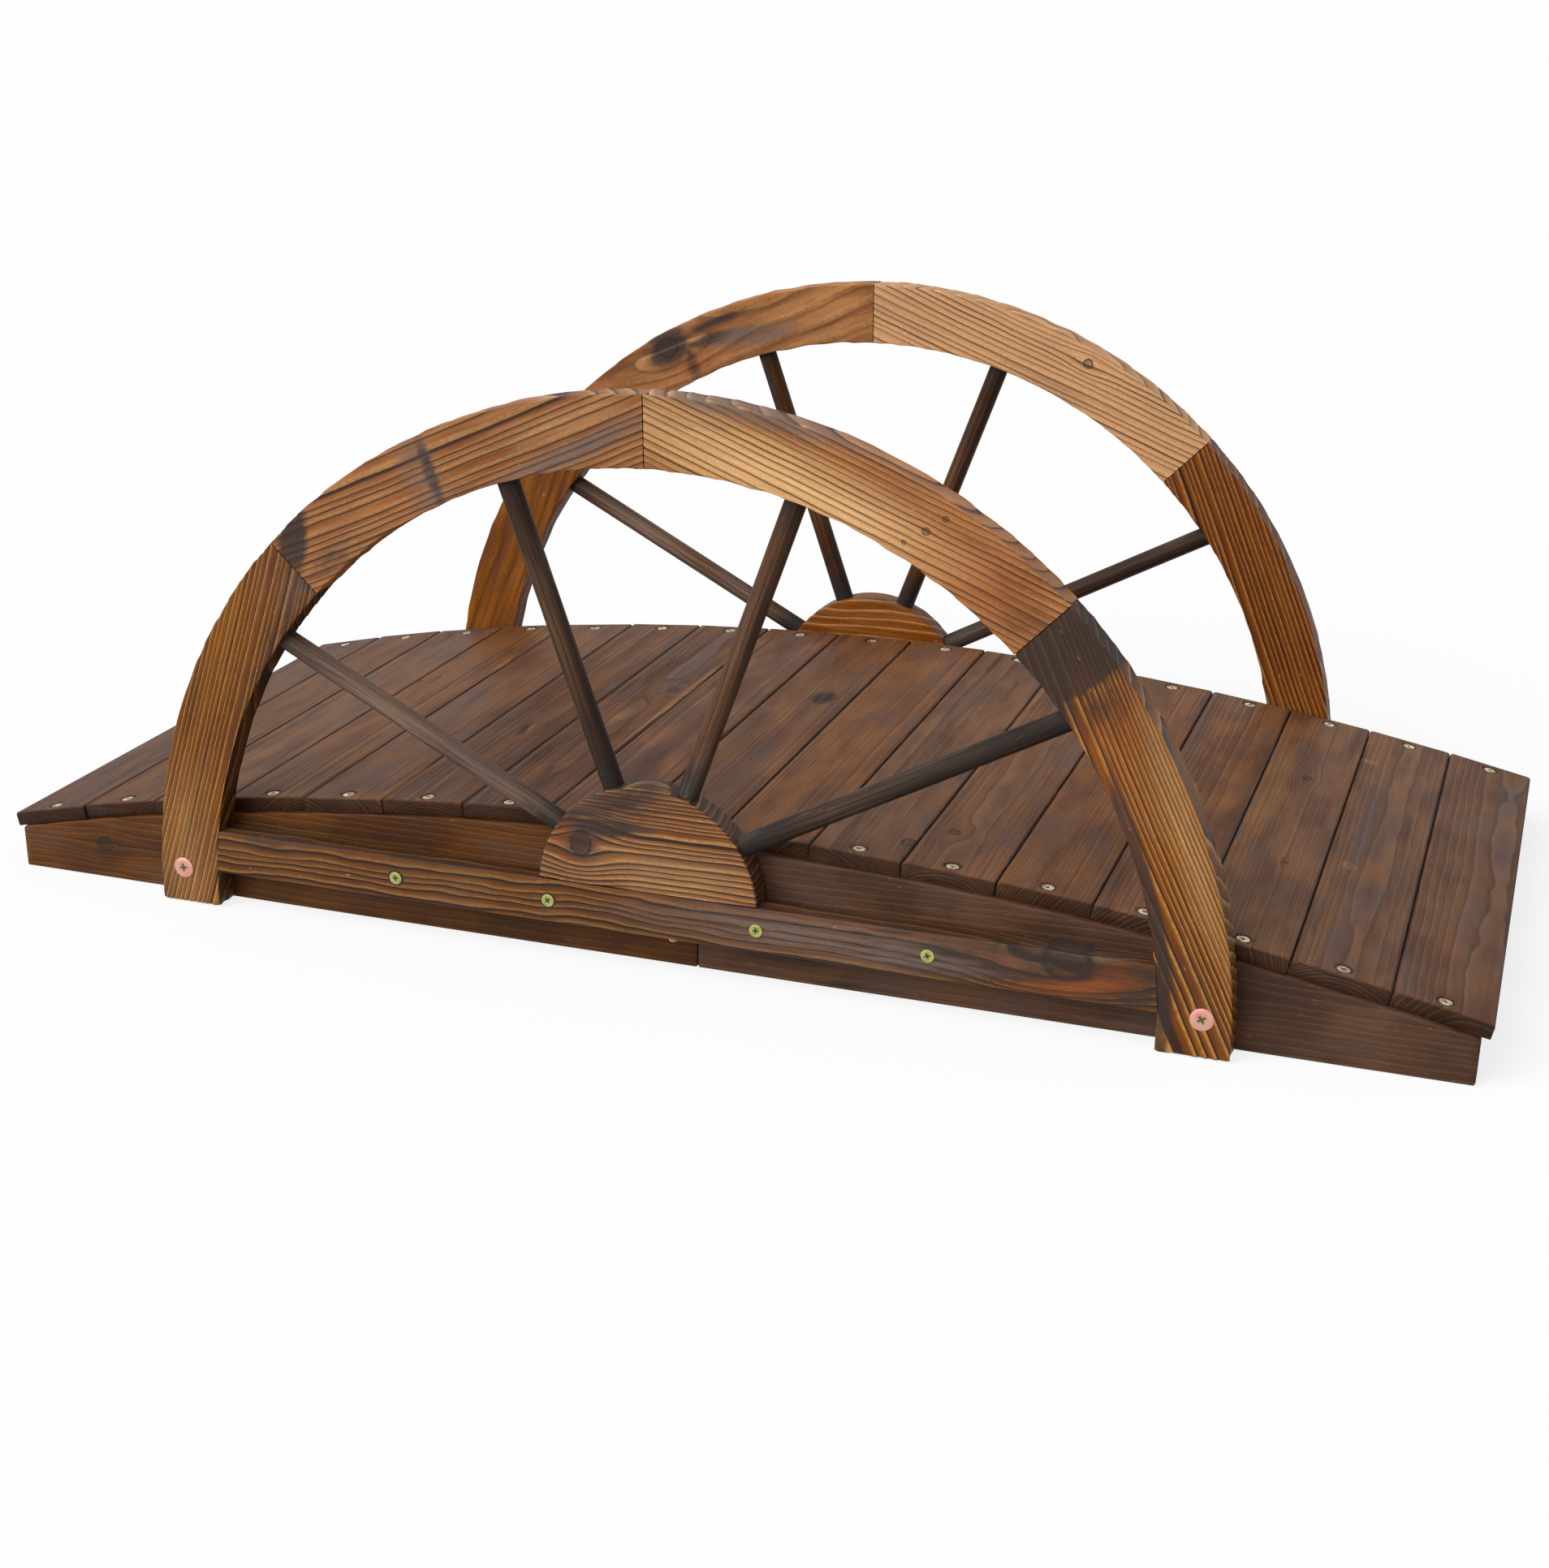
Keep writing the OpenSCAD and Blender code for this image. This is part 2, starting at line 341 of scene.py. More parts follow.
class BrushedGrain:
    """Shader group of charred and brushed grain, shared by every wood finish."""

    COLOURS = ("Body", "Pale", "Line", "Char", "Scuff_and_sheen", "Halo", "Gold")
    LEVELS = ("Contrast", "Glow", "Burn", "Mottle", "Streaks", "Flecks", "Gloss")

    def __init__(self) -> None:
        """Builds the group once, with the rings and noises that its layers share."""
        self.tree = bpy.data.node_groups.new("brushed_grain", "ShaderNodeTree")
        sockets = (
            ("INPUT", "NodeSocketColor", self.COLOURS),
            ("INPUT", "NodeSocketFloat", self.LEVELS),
            ("OUTPUT", "NodeSocketColor", ("Color",)),
            ("OUTPUT", "NodeSocketFloat", ("Roughness", "Height")),
        )
        for way, kind, names in sockets:
            for name in names:
                self.tree.interface.new_socket(name, in_out=way, socket_type=kind)
        self.wiring = Wiring(self.tree)
        outputs = self.wiring.node("NodeGroupInput").outputs
        self.given = {name: Signal(self.wiring, outputs[name]) for name in self.COLOURS + self.LEVELS}
        self.wood, self.knot, self.tone, self.cast, self.marks = (
            self.attribute(name) for name in ("wood", "knot", "tone", "cast", "marks")
        )
        self.rings = growth_rings(self.wood, self.knot)
        self.fibre = self.wood.noise((0.013, 1.7, 1.7), 3.0, 0.62)
        self.blotch = self.wood.noise((0.011, 0.12, 0.12), 2.5, 0.55)
        self.grit = self.wood.noise((0.22, 3.1, 3.1), 2.0, 0.6)
        self._build()

    def attribute(self, name: str, output: str = "Vector") -> Signal:
        """A value stored on the mesh's points."""
        return self.wiring.value("ShaderNodeAttribute", output, attribute_name=name)

    def _build(self) -> None:
        """Wires colour, roughness and height."""
        colour, burnt_and_shade = self._burn(self._tone(self._timber()))
        colour = self._wear(self._knots(colour))
        rough = self.rings.crest * -0.1 + 0.62 + burnt_and_shade * 0.12 + self.grit.swing(0.12)
        rough = rough - self.given["Gloss"]
        height = self.rings.height * 0.8 + self.fibre * 0.5 + self.grit * 0.16
        self.wiring.node("NodeGroupOutput", {"Color": colour, "Roughness": rough, "Height": height})

    def _timber(self) -> Signal:
        """Sound wood: pale and deep bands, fibre streaks, the dark lines of the rings, and glints on their
        crests that are partly paler hard wood and partly a painted highlight.

        Returns:
            Its colour.
        """
        rings, fibre, given = self.rings, self.fibre, self.given
        lean = (self.blotch - fibre) * given["Mottle"]
        share = (fibre + lean + self.tone.split()[2]).ramp(0.36, 0.66)
        contrast = self.attribute("tone", "Alpha") * given["Contrast"]
        # Painted highlight on the crests of the rings, in speckled glints, partly paler hard wood.
        glow = rings.crest * (self.grit * 0.9 + 0.1) * (given["Glow"] * contrast)
        body = glow.up_to(0.9).mix(share.mix(given["Body"], given["Pale"]), given["Gold"])
        # The dark lines: charred soft wood, and partly painted shade in the grooves.
        depth = rings.line * (rings.weight * 0.4 + 0.6) * (fibre * 0.5 + 0.7) * (self.blotch + 0.6)
        return (depth * contrast).up_to(0.95).mix(body, given["Line"])

    def _burn(self, colour: Signal) -> tuple[Signal, Signal]:
        """Fire marks with the painted shade in the deck's seams, weathered scuffs that are partly a painted
        sheen, gold marks that are partly painted highlights, sawn ends, and narrow sides darkened partly by
        painted shade.

        Args:
            colour: Colour of the sound wood.

        Returns:
            The marked colour, and how charred the place is, the painted seam shade included.
        """
        rings, fibre, given = self.rings, self.fibre, self.given
        char, scuff_and_sheen, gold = self.marks.split()
        _, end, shade = self.cast.split()
        ragged = self.wood.noise((0.03, 0.5, 0.5), 3.0, 0.6).swing(0.45)
        smoke = self.wood.noise((0.005, 0.2, 0.2), 3.0, 0.55).ramp(0.5, 0.74) * given["Burn"]
        # Charring, with the painted shade in the deck's seams that the charring marks also carry.
        flame_and_shade = (char + ragged * char.ramp(0.02, 0.4)).ramp(0.15, 0.8)
        burnt_and_shade = smoke.or_more(flame_and_shade)
        spared = rings.crest * flame_and_shade.ramp(0.3, 1.0, 1.0, 0.1) * -0.4 + 0.95
        colour = (burnt_and_shade * spared).mix(colour, given["Char"])
        warmed = self.attribute("marks", "Alpha") * (rings.line * -0.8 + 0.95)
        colour = (warmed * fibre.ramp(0.3, 0.6, 0.4, 1.0)).mix(colour, given["Halo"])
        # Grey scuffs and streaks: partly weathering, partly a painted sheen of pale sky on the wood.
        haze = self.wood.noise((0.011, 0.13, 0.19), 2.0, 0.5) + fibre.swing(0.25)
        drawn = haze.ramp(0.5, 0.74) * given["Streaks"]
        scuffed_and_sheen = drawn.or_more(scuff_and_sheen * fibre.ramp(0.3, 0.62, 0.2, 1.2)) * (rings.line * -0.6 + 1.0)
        colour = scuffed_and_sheen.up_to(0.9).mix(colour, given["Scuff_and_sheen"])
        # Gold marks: partly paler brushed wood, partly painted highlights.
        bright = gold * (rings.line * -0.85 + 0.9) * (fibre * 1.2 + 0.3)
        colour = bright.up_to(0.95).mix(colour, given["Gold"])
        # End grain is darker wood; the narrow sides get the shade, partly charring and partly painted
        # shade.
        dark = (end * 0.8).or_more(shade * fibre.ramp(0.3, 0.7, 1.0, 0.75))
        return (dark * (rings.crest * -0.35 + 1.0)).mix(colour, given["Line"]), burnt_and_shade

    def _knots(self, colour: Signal) -> Signal:
        """Knots: a dark outline, and rings of their own inside it.

        Args:
            colour: Colour of the wood round them.

        Returns:
            The colour with knots.
        """
        edge = self.knot.split()[0] + self.fibre.swing(0.3)
        turns = (edge * 17.0).math("SINE") * 0.1 + 0.5
        core = edge.ramp(0.8, 1.0, 1.0, 0.0) * turns
        outline = edge.ramp(0.72, 0.9) * edge.ramp(0.96, 1.16, 0.95, 0.0)
        return core.or_more(outline).mix(colour, self.given["Char"])

    def _tone(self, colour: Signal) -> Signal:
        """Lightness, warmth and hue of the single piece of timber.

        Args:
            colour: Colour of the plain wood.

        Returns:
            The piece's own colour.
        """
        light, warmth, _ = self.tone.split()
        inputs = {"Hue": self.cast.split()[0], "Saturation": warmth, "Value": light, "Color": colour}
        return self.wiring.value("ShaderNodeHueSaturation", "Color", inputs)

    def _wear(self, colour: Signal) -> Signal:
        """Uneven stain and a few pale flecks where fibres tore out.

        Args:
            colour: Colour so far.

        Returns:
            The worn colour.
        """
        stain = {"Value": self.grit * 0.5 + 0.75, "Color": colour}
        stained = self.wiring.value("ShaderNodeHueSaturation", "Color", stain)
        speck = self.wood.noise((0.08, 2.1, 2.1)) + self.given["Flecks"]
        return speck.ramp(0.74, 0.82, 0.0, 0.5).mix(stained, self.given["Gold"])


def bare_material(name: str) -> tuple[bpy.types.Material, Wiring, bpy.types.Node]:
    """Starts a material.

    Args:
        name: Its name.

    Returns:
        The material, the wiring of its tree and its Principled BSDF.
    """
    made = bpy.data.materials.new(name)
    made.use_nodes = True
    return made, Wiring(made.node_tree), made.node_tree.nodes["Principled BSDF"]


@dataclass(frozen=True)
class WoodFinish:
    """One stained and brushed finish of the fir; the grain group's inputs are named for its fields."""

    name: str
    slot: str
    body: Colour
    pale: Colour
    line: Colour
    char: Colour
    scuff_and_sheen: Colour
    halo: Colour
    gold: Colour
    contrast: float
    glow: float
    burn: float
    mottle: float
    streaks: float
    flecks: float
    gloss: float
    bump: float
    specular: float

    def material(self, grain: BrushedGrain) -> bpy.types.Material:
        """Makes the material.

        Args:
            grain: The shared grain group.

        Returns:
            The material.
        """
        made, wiring, shader = bare_material(self.name)
        levels = {name: getattr(self, name.lower()) for name in grain.COLOURS + grain.LEVELS}
        outputs = wiring.node("ShaderNodeGroup", levels, node_tree=grain.tree).outputs
        colour, rough, height = (Signal(wiring, outputs[name]) for name in ("Color", "Roughness", "Height"))
        bump = {"Strength": 1.0, "Distance": self.bump * MM, "Height": height}
        normal = wiring.value("ShaderNodeBump", "Normal", bump)
        wiring.feed(shader, {"Base Color": colour, "Roughness": rough, "Normal": normal})
        wiring.feed(shader, {"Specular IOR Level": self.specular})
        return made


@dataclass(frozen=True)
class ScrewFinish:
    """Plated steel of a kind of screw, with a dark colour down in its recess: partly grime, partly painted
    shade.
    """

    name: str
    slot: str
    plate: Colour
    tint: Colour
    # Colour of the recess: partly grime, partly painted shade.
    dirt_and_shade: Colour
    roughness: float
    cloud_scale: float = 130.0
    worn_roughness: float = 0.55

    def material(self) -> bpy.types.Material:
        """Makes the material: two hues of plating that drift, and a dark colour in the recess by a point
        attribute, partly grime and partly painted shade.

        Returns:
            The material.
        """
        made, wiring, shader = bare_material(self.name)
        place = wiring.value("ShaderNodeTexCoord", "Object")
        drift = {"Vector": place, "Scale": self.cloud_scale, "Detail": 3.0}
        cloud = wiring.value("ShaderNodeTexNoise", "Fac", drift)
        dirt_and_shade = wiring.value("ShaderNodeAttribute", "Fac", attribute_name="dirt_and_shade")
        sheen = cloud.ramp(0.35, 0.65).mix(self.plate, self.tint)
        dress = {
            # Dark recess: partly grime, partly painted shade.
            "Base Color": dirt_and_shade.mix(sheen, self.dirt_and_shade),
            "Metallic": dirt_and_shade.ramp(0.0, 1.0, 0.85, 0.2),
            "Roughness": cloud.ramp(0.2, 0.8, self.roughness, self.worn_roughness),
        }
        wiring.feed(shader, dress)
        return made


# The gold colour paints crest glints, gold marks and flecks, partly as painted highlights; the grey
# scuffing colour is partly a painted sheen; the charring colour also paints the shade in the deck's seams.
WHEEL_WOOD = WoodFinish(
    name="charred_amber_fir", slot="wheel_wood", body=srgb(138, 82, 42), pale=srgb(188, 130, 78),
    line=srgb(46, 24, 13), char=srgb(46, 34, 29), scuff_and_sheen=srgb(104, 86, 78), halo=srgb(150, 78, 32),
    gold=srgb(236, 186, 128), contrast=1.4, glow=0.6, burn=0.35, mottle=0.45, streaks=0.15,
    flecks=-0.03, gloss=0.08, bump=0.8, specular=0.25,
)
DECK_WOOD = WoodFinish(
    name="chocolate_stained_fir", slot="deck_wood", body=srgb(85, 57, 42), pale=srgb(118, 82, 57),
    line=srgb(36, 23, 17), char=srgb(38, 26, 21), scuff_and_sheen=srgb(84, 66, 62), halo=srgb(112, 72, 42),
    gold=srgb(152, 108, 66), contrast=0.62, glow=0.15, burn=0.5, mottle=0.75, streaks=0.6, flecks=0.0,
    gloss=0.04, bump=0.25, specular=0.13,
)
STRINGER_WOOD = WoodFinish(
    name="smoked_brown_fir", slot="stringer_wood", body=srgb(70, 42, 25), pale=srgb(102, 65, 38),
    line=srgb(34, 21, 14), char=srgb(38, 28, 24), scuff_and_sheen=srgb(80, 66, 60), halo=srgb(100, 60, 32),
    gold=srgb(140, 96, 58), contrast=0.6, glow=0.3, burn=0.6, mottle=0.8, streaks=0.5, flecks=0.01,
    gloss=0.04, bump=0.35, specular=0.18,
)
SPOKE_WOOD = WoodFinish(
    name="burnt_grey_dowel", slot="spoke_wood", body=srgb(72, 52, 42), pale=srgb(100, 72, 54),
    line=srgb(42, 31, 27), char=srgb(40, 35, 34), scuff_and_sheen=srgb(122, 106, 98), halo=srgb(100, 70, 50),
    gold=srgb(142, 104, 72), contrast=0.65, glow=0.25, burn=0.6, mottle=0.7, streaks=0.3, flecks=0.0,
    gloss=0.06, bump=0.22, specular=0.12,
)
DECK_SCREW = ScrewFinish(
    "pale_zinc", "deck_screw", srgb(226, 210, 178), srgb(150, 128, 102), srgb(30, 22, 18), 0.34
)
RAIL_SCREW = ScrewFinish(
    "yellow_green_zinc", "rail_screw", srgb(190, 180, 104), srgb(146, 162, 100), srgb(50, 46, 28), 0.34
)
FOOT_SCREW = ScrewFinish(
    "rose_zinc", "foot_screw", srgb(220, 148, 142), srgb(206, 166, 140), srgb(96, 76, 34), 0.38
)


@dataclass(frozen=True)
class Knot:
    """A branch's knot that goes through a piece."""

    x: float
    y: float
    radius: float
    bend: float = 1.0
    stretch: float = 0.45


@dataclass(frozen=True)
class Patch:
    """A marked place on a piece: an oval with soft edges, or a rounded box where its square is high."""

    kind: MarkKind
    x: float
    y: float
    length: float
    width: float
    turn: float = 0.0
    strength: float = 1.0
    soft: float = 0.3
    square: float = 2.0

    def cover(self, points: np.ndarray) -> np.ndarray:
        """How far the mark covers each point.

        Args:
            points: Places on the face, two numbers each.

        Returns:
            Cover of 0 to the mark's strength.
        """
        angle = math.radians(self.turn)
        x, y = (points - np.array((self.x, self.y))).T
        along = np.abs(x * math.cos(angle) + y * math.sin(angle)) / self.length
        over = np.abs(y * math.cos(angle) - x * math.sin(angle)) / self.width
        out = (along**self.square + over**self.square) ** (1 / self.square)
        return self.strength * np.clip((1 + self.soft - out) / (2 * self.soft), 0.0, 1.0)


@dataclass(frozen=True)
class Cut:
    """How a piece lies in the log that it was sawn from."""

    along: Vector
    across: Vector
    pith: Pair
    ring: float
    seed: int
    centre: Vector = field(default_factory=lambda: Vector((0.0, 0.0, 0.0)))
    waver: float = 0.7
    crowd: float = 0.0

    SEED_STEP = 700.0
    CROWD_SPAN = 70.0
    FAR_OFF = 9.0
    KNOT_SLIM = 0.4
    BEND_REACH = 2.1
    BEND_SHARE = 0.85

    def log_place(self, points: np.ndarray) -> np.ndarray:
        """Place of each point in the log.

        Args:
            points: Points of the piece, in millimetres.

        Returns:
            Millimetres along the grain, then two distances from the pith in ring widths.
        """
        off = points - np.array(self.centre)
        through = np.array(self.along.cross(self.across))
        along = off @ np.array(self.along) + self.seed * self.SEED_STEP
        over = off @ np.array(self.across)
        across = (over * (1 + self.crowd * over / self.CROWD_SPAN) - self.pith[0]) / self.ring
        depth = (off @ through - self.pith[1]) / self.ring
        return np.stack([along, across, depth], axis=1)

    def knot_field(self, points: np.ndarray, plane: tuple[int, int], knots: Iterable[Knot]) -> np.ndarray:
        """Distance from the nearest knot, and how the knots shift the rings.

        Args:
            points: Points of the piece.
            plane: The two axes that a knot's place is given in.
            knots: The knots.

        Returns:
            Distance in knot radii, shift in ring widths, and the waviness of the rings.
        """
        result = np.tile([self.FAR_OFF, 0.0, self.waver], (len(points), 1))
        flat = points[:, plane]
        grain, over = (np.array([way[i] for i in plane]) for way in (self.along, self.across))
        for knot in knots:
            place = np.array((knot.x, knot.y))
            run, side = (flat - place) @ grain, (flat - place) @ over
            distance = np.hypot(run * (self.KNOT_SLIM + knot.stretch), side) / knot.radius
            eye = np.hypot(run * knot.stretch, side) / (knot.radius * self.BEND_REACH)
            way = math.copysign(1.0, self.pith[0] - (place @ over - self.centre.dot(self.across)))
            shift = way * side / self.ring * np.exp(-eye * eye)
            result[:, 0] = np.minimum(result[:, 0], distance)
            result[:, 1] += shift * self.BEND_SHARE * knot.bend
        return result


class Stock:
    """Timber being shaped: a section that is swept, closed and moved into place, in millimetres."""

    CORNER_STEPS = 3

    def __init__(self) -> None:
        """Starts with nothing."""
        self.bm = bmesh.new()
        self.push = self.bm.verts.layers.float_vector.new("push")
        self.end = self.bm.verts.layers.float.new("end")
        self.first: list[bmesh.types.BMEdge] = []
        self.last: list[bmesh.types.BMEdge] = []
        self.caps: list[bmesh.types.BMFace] = []
        self.size = (1.0, 1.0)
        self.lie = Matrix.Identity(3)

    def section(self, size: Pair, easing: Pair, steps: Triple, lie: Matrix) -> None:
        """Draws a rectangle with eased corners as the section to sweep.

        Args:
            size: Width and depth.
            easing: Radius of the lower and of the upper corners.
            steps: Mesh step along the upper side, the lower side and the two ends.
            lie: Where the section lies; its own X is the width and its own Y the depth.
        """
        bm = self.bm
        self.size, self.lie = size, lie.to_3x3()
        bmesh.ops.create_grid(bm, x_segments=1, y_segments=1, size=0.5)
        bmesh.ops.scale(bm, vec=(size[0], size[1], 1.0), verts=bm.verts)
        for upper, radius in enumerate(easing):
            corners = [v for v in bm.verts if (v.co.y > 0) == bool(upper)]
            bmesh.ops.bevel(
                bm,
                geom=corners,
                offset=radius,
                affect="VERTICES",
                segments=self.CORNER_STEPS,
                profile=0.5,
                material=-1,
            )
        bmesh.ops.delete(bm, geom=list(bm.faces), context="FACES_ONLY")
        for edge in list(bm.edges):
            run = edge.verts[1].co - edge.verts[0].co
            middle = (edge.verts[0].co + edge.verts[1].co) / 2
            level = abs(run.x) > abs(run.y)
            step = steps[0] if level and middle.y > 0 else steps[1] if level else steps[2]
            cuts = round(run.length / step) - 1
            if cuts > 0 and run.length > max(easing):
                bmesh.ops.subdivide_edges(bm, edges=[edge], cuts=cuts)
        bmesh.ops.transform(bm, matrix=lie, verts=bm.verts)
        self.first = self.last = list(bm.edges)

    def run(self, way: Vector, steps: int) -> None:
        """Sweeps the last section on in a straight line.

        Args:
            way: The whole way.
            steps: Number of mesh steps on it.
        """
        straight = {"cent": (0, 0, 0), "axis": (0, 0, 1), "angle": 0.0}
        made = bmesh.ops.spin(self.bm, geom=self.last, dvec=way / steps, steps=steps, **straight)
        self.last = edges_of(made["geom_last"])

    def turn(self, centre: Vector, angle: float, steps: int) -> None:
        """Sweeps the last section on round an axis along -Y.

        Args:
            centre: A point on the axis.
            angle: Angle in radians.
            steps: Number of mesh steps.
        """
        made = bmesh.ops.spin(self.bm, geom=self.last, cent=centre, axis=-Y_AXIS, angle=angle, steps=steps)
        self.last = edges_of(made["geom_last"])

    def cap(
        self,
        edges: list[bmesh.types.BMEdge],
        out: Vector,
        ease: float,
        turned: float = 0.0,
        flush: bool = False,
    ) -> None:
        """Closes an open end, with its arrises eased.

        Args:
            edges: The open loop.
            out: Direction in which the end faces.
            ease: Size of the easing, or zero.
            turned: Angle about -Y from the section as it was drawn to this end, in radians.
            flush: Whether the section keeps its full width, so that only the two faces are eased.
        """
        bm = self.bm
        if ease > 0:
            made = bmesh.ops.extrude_edge_only(bm, edges=edges)["geom"]
            verts, edges = verts_of(made), edges_of(made)
            middle = sum((v.co for v in verts), Vector()) / len(verts)
            lie = Matrix.Translation(middle) @ (Matrix.Rotation(-turned, 3, "Y") @ self.lie).to_4x4()
            shrink = [(length - 2 * ease) / length for length in self.size]
            shrink[0] = 1.0 if flush else shrink[0]
            bmesh.ops.scale(bm, vec=(*shrink, 1.0), space=lie.inverted(), verts=verts)
            bmesh.ops.translate(bm, vec=out * ease, verts=verts)
            for vert in verts:
                vert[self.end] = 1.0
        self.caps += bmesh.ops.contextual_create(bm, geom=edges)["faces"]

    def close(self, way: Vector, ease: float) -> None:
        """Closes both ends of a straight sweep along a way."""
        self.cap(self.first, -way, ease)
        self.cap(self.last, way, ease)

    def bar(self, box: Box, ease: float, steps: Triple, step: float, end_ease: float) -> Vector:
        """Makes a straight bar along X in a box.

        Args:
            box: Lowest and highest corner of the box.
            ease: Radius of the long arrises.
            steps: Mesh steps round the section.
            step: Mesh step along the bar.
            end_ease: Size of the easing at the two ends.

        Returns:
            Middle of the bar's left end.
        """
        low, high = box
        length = high.x - low.x - 2 * end_ease
        start = (low + high) / 2
        start.x = low.x + end_ease
        size = (high.y - low.y, high.z - low.z)
        self.section(size, (ease, ease), steps, Matrix.Translation(start) @ SECTION_YZ)
        self.run(X_AXIS * length, round(length / step))
        self.close(X_AXIS, end_ease)
        return start

    def finish(self) -> None:
        """Turns the faces outwards and notes the way that brushing pushes each point."""
        bmesh.ops.recalc_face_normals(self.bm, faces=self.bm.faces)
        self.bm.normal_update()
        caps = set(self.caps)
        for vert in self.bm.verts:
            sides = [f.normal * f.calc_area() for f in vert.link_faces if f not in caps]
            vert[self.push] = sum(sides, Vector()).normalized() if sides else Vector()


@dataclass(frozen=True)
class Tone:
    """Lightness, warmth, share of pale wood, strength of the rings and hue of one piece of timber.

    The shade darkens its narrow sides: partly charring, partly painted shade.
    """

    light: float = 1.0
    warmth: float = 1.0
    fade: float = 0.0
    contrast: float = 1.0
    hue: float = 0.5
    shade: float = 0.0


@dataclass(frozen=True)
class Relief:
    """How deep the soft wood is brushed out, on the faces and on the other sides of a piece."""

    face: float
    edge: float
    face_axis: int

    GAIN = 1.6
    LEAST = 0.5

    def facing(self, ways: np.ndarray) -> np.ndarray:
        """How far each point belongs to the faces, 0 to 1, by the way that it looks."""
        return np.clip(np.abs(ways[:, self.face_axis]) * self.GAIN - self.LEAST, 0.0, 1.0)


DECK_RELIEF = Relief(0.14, 0.02, 2)
STRINGER_RELIEF = Relief(0.35, 0.35, 1)
BLOCK_RELIEF = Relief(0.3, 0.3, 1)
RIM_RELIEF = Relief(0.6, 2.2, 1)
HUB_RELIEF = Relief(1.2, 0.6, 1)
RAIL_RELIEF = Relief(0.8, 0.8, 1)
SPOKE_RELIEF = Relief(0.07, 0.07, 1)


class Yard:
    """Where timber gets its log, its marks, its finish and its place on the bridge."""

    STORES = {3: ("FLOAT_VECTOR", "vector"), 4: ("FLOAT_COLOR", "color")}
    TIMBER_ARRIS = math.radians(50)

    def __init__(self) -> None:
        """Makes the finishes that every piece shares."""
        grain = BrushedGrain()
        woods = (WHEEL_WOOD, DECK_WOOD, STRINGER_WOOD, SPOKE_WOOD)
        steels = (DECK_SCREW, RAIL_SCREW, FOOT_SCREW)
        self.relief = ReliefTree()
        self.finishes = {wood.slot: wood.material(grain) for wood in woods}
        self.finishes |= {steel.slot: steel.material() for steel in steels}

    @staticmethod
    def read(items: bpy.types.bpy_prop_collection, key: str, width: int) -> np.ndarray:
        """Reads a property off every point.

        Args:
            items: The points.
            key: Name of the property.
            width: How many numbers it has.

        Returns:
            One row for each point.
        """
        values = np.empty(len(items) * width, np.float32)
        items.foreach_get(key, values)
        return values.reshape(-1, width).astype(float)

    def store(self, mesh: bpy.types.Mesh, name: str, values: np.ndarray) -> None:
        """Stores a value on every point of a mesh.

        Args:
            mesh: The mesh.
            name: Name of the attribute.
            values: One row for each point, of three or four numbers.
        """
        kind, key = self.STORES[values.shape[1]]
        made = mesh.attributes.get(name) or mesh.attributes.new(name, kind, "POINT")
        made.data.foreach_set(key, np.ascontiguousarray(values, np.float32).ravel())

    def saw(
        self,
        node: str,
        stock: Stock,
        cut: Cut,
        finish: WoodFinish,
        relief: Relief,
        tone: Tone,
        plane: tuple[int, int],
        knots: Sequence[Knot] = (),
        patches: Sequence[Patch] = (),
        place: Matrix = Matrix.Identity(4),
    ) -> bpy.types.Object:
        """Makes a finished piece of timber that stands for a CAD node.

        Args:
            node: The CAD node.
            stock: The shaped timber.
            cut: How it lies in its log.
            finish: Its finish.
            relief: Depth of the brushing.
            tone: Its own lightness and warmth.
            plane: The two axes that its knots and patches are placed in.
            knots: Its knots.
            patches: Its marks.
            place: Moves the piece from where it was shaped to where it belongs.

        Returns:
            The piece.
        """
        stock.finish()
        mesh = bpy.data.meshes.new(f"{node}_timber")
        stock.bm.to_mesh(mesh)
        stock.bm.free()
        count = len(mesh.vertices)
        points = self.read(mesh.vertices, "co", 3)
        push = self.read(mesh.attributes["push"].data, "vector", 3)
        ends = self.read(mesh.attributes["end"].data, "value", 1)[:, 0]
        facing = relief.facing(push)
        depth = relief.edge + (relief.face - relief.edge) * facing
        marks = np.zeros((count, len(MarkKind)))
        for patch in patches:
            channel = patch.kind.value
            marks[:, channel] = np.maximum(marks[:, channel], patch.cover(points[:, plane]))
        stored = {
            "wood": cut.log_place(points),
            "knot": cut.knot_field(points, plane, knots),
            "marks": marks,
            "tone": np.tile([tone.light, tone.warmth, tone.fade, tone.contrast], (count, 1)),
            # The third part is the shade of the narrow sides, partly charring and partly painted shade; it
            # fades out on the faces.
            "cast": np.stack([np.full(count, tone.hue), ends, tone.shade * (1.0 - facing)], axis=1),
            "push": (push * depth[:, None]) @ np.array(place.to_3x3()).T * MM,
        }
        for name, values in stored.items():
            self.store(mesh, name, values)
        mesh.transform(Matrix.Scale(MM, 4) @ place)
        piece = self.place(mesh, finish.slot)
        self.relief.carve(piece)
        piece.data.shade_smooth()
        piece.data.set_sharp_from_angle(angle=self.TIMBER_ARRIS)
        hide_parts(node)
        return piece

    def place(self, mesh: bpy.types.Mesh, slot: str) -> bpy.types.Object:
        """Puts a finished mesh on the bridge.

        Args:
            mesh: The mesh, in metres and in place.
            slot: The record's material slot, which also names its finish.

        Returns:
            The piece.
        """
        piece = bpy.data.objects.new(mesh.name, mesh)
        bpy.context.scene.collection.objects.link(piece)
        mesh.materials.append(self.finishes[slot])
        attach(piece, BODY)
        log.info("%s: %d faces", piece.name, len(mesh.polygons))
        return piece


# Charring marks also carry the painted shade in the deck's seams, scuffs are partly a painted sheen, and
# gold marks partly painted highlights.
CHAR, SCUFF, GOLD, EMBER = MarkKind

